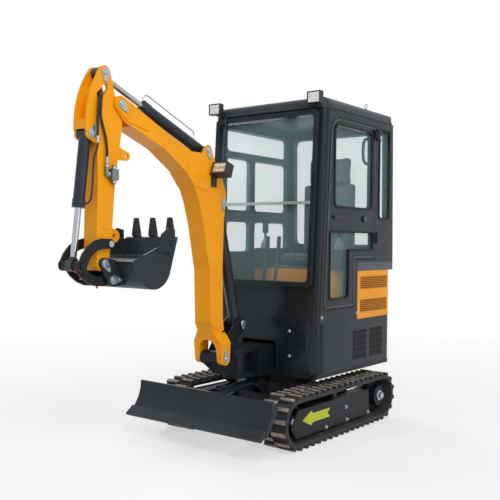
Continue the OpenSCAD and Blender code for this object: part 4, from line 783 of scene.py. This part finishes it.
BLADE_EYE = (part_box("blade_rod")[1][0] - 0.032, 0.0, 0.304)
for name, eye in (
    ("boom_rod", (0.745, 0.0, 1.528)), ("arm_rod", (1.718, 0.0, 2.160)),
    ("bucket_rod", (1.880, 0.0, 1.150)), ("blade_rod", BLADE_EYE),
):
    put_on(chromed_rod(name + "_chrome", eye), [name])
LONG_R, SHORT_R = 0.005, 0.004
long_pipe = solid_tube("bucket_cylinder_pipe", [
    (1.780, 0.070, 1.784), (1.780, 0.069, 1.770), (1.782, 0.062, 1.745), (1.786, 0.053, 1.715),
    (1.788, 0.048, 1.680), (1.792, 0.047, 1.600), (1.798, 0.046, 1.520), (1.804, 0.044, 1.490),
    (1.812, 0.036, 1.474), (1.822, 0.026, 1.466),
], LONG_R)
finish_piece(long_pipe, barrel_black, "bucket_barrel")
ALONG, ABOVE = Vector((0.930, 0.0, 0.368)), Vector((-0.368, 0.0, 0.930))
ARM_BASE = Vector((0.900, 0.015, 1.836))
over = [(0.560, 0.030), (0.557, 0.054), (0.540, 0.066), (0.500, 0.068), (0.320, 0.068), (0.160, 0.068),
        (0.122, 0.066), (0.106, 0.054), (0.104, 0.030)]
over_path = [ARM_BASE + ALONG * s + ABOVE * h for s, h in over]
short_pipe = solid_tube("arm_cylinder_pipe", over_path, SHORT_R)
finish_piece(short_pipe, zinc, "arm_barrel")

# Arm hoses and valve
# Two wire braided rubber hoses leave the arm head, one to the bucket cylinder's pipe, one to a cast valve.
# Each is one smooth line of its real length, with a crimped ferrule, grown ring by ring, on its lower end.
BOOM_TIP = Vector((1.617, 0.0, 2.008))
HOSE_D = 0.014
FERRULE = [(0.0082, -0.019), (0.0095, -0.017), (0.0095, -0.004), (0.0085, -0.003), (0.0085, 0.001),
           (0.0095, 0.002), (0.0095, 0.006), (0.0085, 0.007), (0.0085, 0.011), (0.0095, 0.012),
           (0.0095, 0.016), (0.0080, 0.018)]
NUT = [(0.0118, 0.0), (0.0135, 0.002), (0.0135, 0.011), (0.0118, 0.013)]


def hose_rubber():
    """Cloth-marked hose cover: black, matt, with the slanting print of its wrapping."""
    material, shader, place = new_material("wrapped_hose_rubber", IOR=1.5, Specular_IOR_Level=0.3)
    wrap = add_node(material, "TexWave", {"Scale": 130.0, "Distortion": 2.0, "bands_direction": "DIAGONAL"},
                    {"Vector": place})
    bloom = add_node(material, "TexNoise", {"Scale": 60.0, "Detail": 3.0}, {"Vector": place})
    tint = blend_colour(material, bloom.outputs["Fac"], "#1c1c1f", "#34353a")
    rough = add_node(material, "MapRange", {3: 0.5, 4: 0.7}, {0: bloom.outputs["Fac"]})
    bump = add_node(material, "Bump", {"Strength": 0.2, "Distance": 0.0004}, {"Height": wrap.outputs["Fac"]})
    return dressed(material, shader, tint, rough, bump)


wrapped = hose_rubber()
cast_zinc = bare_metal("cast_zinc", ("#6d7475", "#8a9192"), (0.45, 0.62), 220.0)
put_on(cast_zinc, ["arm_valve"])
CYLINDER_ROUTE = [
    (0.1137, 0.016, 0.0679), (0.1222, 0.027, 0.0567), (0.1307, 0.040, 0.0456), (0.1385, 0.051, 0.0352),
    (0.146, 0.059, 0.020), (0.152, 0.0645, 0.002), (0.1565, 0.0675, -0.017), (0.160, 0.069, -0.037),
    (0.1625, 0.070, -0.058), (0.1642, 0.070, -0.080), (0.1654, 0.070, -0.102), (0.166, 0.070, -0.124),
    (0.166, 0.070, -0.146), (0.1655, 0.070, -0.168), (0.1645, 0.070, -0.188), (0.163, 0.070, -0.206),
]
VALVE_ROUTE = [
    (0.1016, 0.016, 0.0587), (0.1101, 0.027, 0.0475), (0.1186, 0.040, 0.0364), (0.1264, 0.051, 0.026),
    (0.1335, 0.060, 0.0105), (0.1395, 0.0653, -0.008), (0.143, 0.068, -0.029), (0.1455, 0.0685, -0.051),
    (0.145, 0.0685, -0.073), (0.1415, 0.068, -0.095), (0.135, 0.0675, -0.116), (0.127, 0.067, -0.137),
    (0.1185, 0.0665, -0.158), (0.111, 0.066, -0.179), (0.105, 0.066, -0.201), (0.1008, 0.066, -0.223),
    (0.098, 0.066, -0.245), (0.0965, 0.066, -0.267), (0.096, 0.066, -0.289), (0.096, 0.066, -0.308),
]
crimp = turned("crimp", FERRULE, 20)
for name, route, length in (("cylinder_hose", CYLINDER_ROUTE, 0.302), ("valve_hose", VALVE_ROUTE, 0.401)):
    points = [BOOM_TIP + Vector(point) for point in route]
    ferrule = spread(crimp, name + "_ferrule", [points[-1]], UPRIGHT)
    finish_piece(ferrule, zinc, "arm")
    line = tube(name + "_line", points, HOSE_D / 2)
    line.data.materials.append(wrapped)
    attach(line, "arm")
    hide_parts(name)
bpy.data.objects.remove(crimp)
nut = turned("nut", NUT, 6)
upright_places = [(1.664, 0.0675, 1.657), (1.664, 0.0675, 1.584), (1.713, 0.066, 1.664)]
nuts = [spread(nut, "upright_nuts", upright_places, UPRIGHT),
        spread(nut, "elbow_nut", [(1.692, 0.066, 1.627)], TO_FRONT)]
finish_piece(joined(nuts, "valve_nuts"), zinc, "arm")
bpy.data.objects.remove(nut)

# Cylinder foot pins
# Zinc plated pin heads with a keeper lobe at the boom cylinder's foot, one at each cheek of the swing post.
# A large and a small head are grown ring by ring and joined. The right one is turned inward.
HEAD = [(0.025, 0.0), (0.025, 0.005), (0.022, 0.008), (0.007, 0.0085), (0.006, 0.0105)]
LOBE, LOBE_REACH = [(0.012, 0.0), (0.012, 0.005), (0.010, 0.007)], 0.026
PIN_X, PIN_Y, PIN_Z = 0.540, 0.068, 0.750
head = turned("head", HEAD, 28)
lobe = turned("lobe", LOBE, 20)
lobe.location = (0.0, LOBE_REACH, 0.0)
pin = joined([head, lobe], "pin")
PIN_TURNED = (math.pi / 2, 0.0, math.pi)
for name, side, turn in (("foot_pin_left", 1, TO_LEFT), ("foot_pin_right", -1, PIN_TURNED)):
    finish_piece(spread(pin, name, [(PIN_X, side * PIN_Y, PIN_Z)], turn), zinc, "swing_post")
bpy.data.objects.remove(pin)

# Pin ends and keeper bolts
# Turned and zinc plated ends of the boom, arm and bucket pins, each but one with its keeper plate's bolt.
# One dished end and one hex bolt are grown ring by ring and copied to both sides.
put_on(zinc, ["boom_pins", "arm_pins", "bucket_pins"])
PIN_END = [(0.0150, 0.0), (0.0150, 0.0022), (0.0135, 0.0042), (0.0075, 0.0042), (0.0065, 0.0022)]
KEEPER_REACH, KEEPER_SUNK = 0.044, 0.002
pin_end = turned("pin_end", PIN_END, 24)
keeper_bolt = hex_bolt(0.013)
for name, body, pins in (
    ("boom_pin_ends", "boom", ((0.765, 0.550, 0.118, 90), (1.617, 2.008, 0.077, 222),
                               (0.900, 1.836, 0.072, 255), (0.745, 1.528, 0.072, 285))),
    ("arm_pin_ends", "arm", ((1.718, 2.160, 0.0585, 268), (1.805, 1.831, 0.0585, None))),
    ("bucket_pin_ends", "bucket", ((1.721, 1.159, 0.074, 232), (1.664, 1.072, 0.074, 180))),
):
    ends = []
    for side, turn in ((1, TO_LEFT), (-1, TO_RIGHT)):
        ends.append(spread(pin_end, "ends", [(x, side * y, z) for x, z, y, angle in pins], turn))
        bolts = [(x + KEEPER_REACH * math.cos(math.radians(angle)), side * (y - KEEPER_SUNK),
                  z + KEEPER_REACH * math.sin(math.radians(angle)))
                 for x, z, y, angle in pins if angle is not None]
        ends.append(spread(keeper_bolt, "bolts", bolts, turn))
    finish_piece(joined(ends, name), zinc, body)
bpy.data.objects.remove(pin_end)
bpy.data.objects.remove(keeper_bolt)

# Grease caps
# Moulded red plastic caps pushed onto the grease nipples under the bucket link.
# One small ribbed dome is grown ring by ring and copied.
CAP = [(0.0055, 0.0), (0.0062, -0.003), (0.0054, -0.0045), (0.0062, -0.006), (0.0054, -0.011),
       (0.0026, -0.014)]
cap_places = [(1.893, 0.037, 1.128), (1.858, 0.037, 1.0893), (1.750, 0.037, 1.0418)]
red_plastic = moulded_plastic("red_cap_plastic", "#c9202c", "#dc3440", 0.35, 0.002)
dome = turned("dome", CAP, 16)
caps = spread(dome, "grease_caps", cap_places, UPRIGHT)
finish_piece(caps, red_plastic, "bucket_link")
bpy.data.objects.remove(dome)

# Grab handle and roof eye
# A bent black steel bar inside the cab behind the door, and a zinc lifting eye screwed into the roof's edge.
# Both are lines swept round; each end of the bar stands on a turned foot.
GRIP_R, RING_R, EYE_R = 0.011, 0.0035, 0.016
grip = solid_tube("grip", [
    (-0.512, 0.428, 2.035), (-0.500, 0.408, 2.038), (-0.468, 0.398, 2.036), (-0.440, 0.396, 2.016),
    (-0.430, 0.396, 1.980), (-0.430, 0.396, 1.915), (-0.440, 0.396, 1.880), (-0.468, 0.398, 1.860),
    (-0.500, 0.408, 1.857), (-0.512, 0.428, 1.860),
], GRIP_R)
foot = turned("foot", [(0.022, 0.0), (0.022, 0.003), (0.019, 0.005)], 20)
feet = spread(foot, "feet", [(-0.512, 0.4298, 2.035), (-0.512, 0.4298, 1.860)], TO_RIGHT)
bpy.data.objects.remove(foot)
finish_piece(joined([grip, feet], "grab_handle"), plastic, "house")
EYE_SPOT = Vector((-0.400, 0.430, 2.262))
angles = [step * math.pi / 6 for step in range(12)]
ring = [EYE_SPOT + Vector((EYE_R * math.cos(angle), 0.0, EYE_R * math.sin(angle))) for angle in angles]
eye_ring = solid_tube("eye_ring", ring, RING_R, True)
shank = turned("shank", [(0.009, 2.2386), (0.009, 2.241), (0.0065, 2.243), (0.0065, 2.247)], 6)
shank.data.transform(Matrix.Translation((EYE_SPOT.x, EYE_SPOT.y, 0.0)))
finish_piece(joined([eye_ring, shank], "roof_eye"), zinc, "house")

# Studio
# A pale floor that fades into a white surround, three soft area lamps and a small one inside the cab.
# The camera stands at the photograph's angle; where the floor has faded, it sees white.
FLOOR_SIZE = 24.0
FADE_FROM, FADE_TO, OPEN_SHARE = 2.0, 6.0, 0.55
bpy.ops.object.select_all(action="DESELECT")
bpy.ops.mesh.primitive_plane_add(size=FLOOR_SIZE)
floor = bpy.context.object
floor.name = "studio_floor"
pale, floor_shader, floor_place = new_material("pale_floor", Base_Color=rgb("#f4f4f4"), Roughness=0.9)
distance = add_node(pale, "VectorMath", {"operation": "LENGTH"}, {0: floor_place})
fade = add_node(pale, "MapRange", {1: FADE_FROM, 2: FADE_TO, 3: OPEN_SHARE}, {0: distance.outputs["Value"]})
clear = add_node(pale, "BsdfTransparent")
white = add_node(pale, "Emission")
looking = add_node(pale, "LightPath").outputs["Is Camera Ray"]
beyond = add_node(pale, "MixShader", links={0: looking, 1: clear.outputs[0], 2: white.outputs[0]})
mixed = add_node(pale, "MixShader",
                 links={0: fade.outputs[0], 1: floor_shader.outputs[0], 2: beyond.outputs[0]})
pale.node_tree.links.new(mixed.outputs[0], pale.node_tree.nodes["Material Output"].inputs["Surface"])
floor.data.materials.append(pale)

LIGHT_LEVEL = 0.55
world = bpy.context.scene.world or bpy.data.worlds.new("studio")
bpy.context.scene.world = world
world.use_nodes = True
sky = world.node_tree.nodes["Background"]
sky.inputs["Color"].default_value = (1.0, 1.0, 1.0, 1.0)
rays = add_node(world, "LightPath").outputs
glossy = add_node(world, "Math", {"operation": "MAXIMUM"},
                  {0: rays["Is Glossy Ray"], 1: rays["Is Transmission Ray"]})
seen = add_node(world, "Math", {"operation": "MAXIMUM"}, {0: rays["Is Camera Ray"], 1: glossy.outputs[0]})
level = add_node(world, "MapRange", {3: LIGHT_LEVEL, 4: 1.0}, {0: seen.outputs[0]})
world.node_tree.links.new(level.outputs[0], sky.inputs["Strength"])

for name, spot, aim, wide, tall, power in (
    ("key_lamp", (4.5, 5.0, 5.5), (0.3, 0.0, 1.1), 3.0, 3.0, 235),
    ("strip_lamp", (1.2, 5.5, 1.6), (0.2, 0.0, 1.2), 0.5, 3.2, 30),
    ("back_lamp", (-3.0, -4.5, 5.0), (0.3, 0.0, 1.1), 3.0, 3.0, 110),
    ("cab_lamp", (0.0, 0.0, 2.14), (-0.02, 0.0, 1.0), 0.4, 0.4, 10),
):
    bpy.ops.object.light_add(type="AREA", location=spot)
    lamp = bpy.context.object
    lamp.name = name
    lamp.data.shape = "RECTANGLE"
    lamp.data.size = wide
    lamp.data.size_y = tall
    lamp.data.energy = power
    lamp.visible_camera = False
    lamp.visible_glossy = name != "cab_lamp"
    lamp.rotation_euler = (Vector(aim) - Vector(spot)).to_track_quat("-Z", "Y").to_euler()

CAMERA_SPOT = (4.3697, 3.0447, 1.2829)
LENS, SENSOR = 53.889, 36.0
YAW, PITCH, ROLL = math.radians(217.398), math.radians(-0.6474), math.radians(0.6675)
ahead = Vector((math.cos(PITCH) * math.cos(YAW), math.cos(PITCH) * math.sin(YAW), math.sin(PITCH)))
right = Vector((math.sin(YAW), -math.cos(YAW), 0.0))
above = right.cross(ahead)
tilted_right = math.cos(ROLL) * right + math.sin(ROLL) * above
tilted_up = math.cos(ROLL) * above - math.sin(ROLL) * right
bpy.ops.object.camera_add()
camera = bpy.context.object
camera.data.lens = LENS
camera.data.sensor_width = SENSOR
aimed = Matrix((tilted_right, tilted_up, -ahead)).transposed().to_4x4()
camera.matrix_world = Matrix.Translation(CAMERA_SPOT) @ aimed
bpy.context.scene.camera = camera
bpy.context.scene.view_settings.view_transform = "Standard"
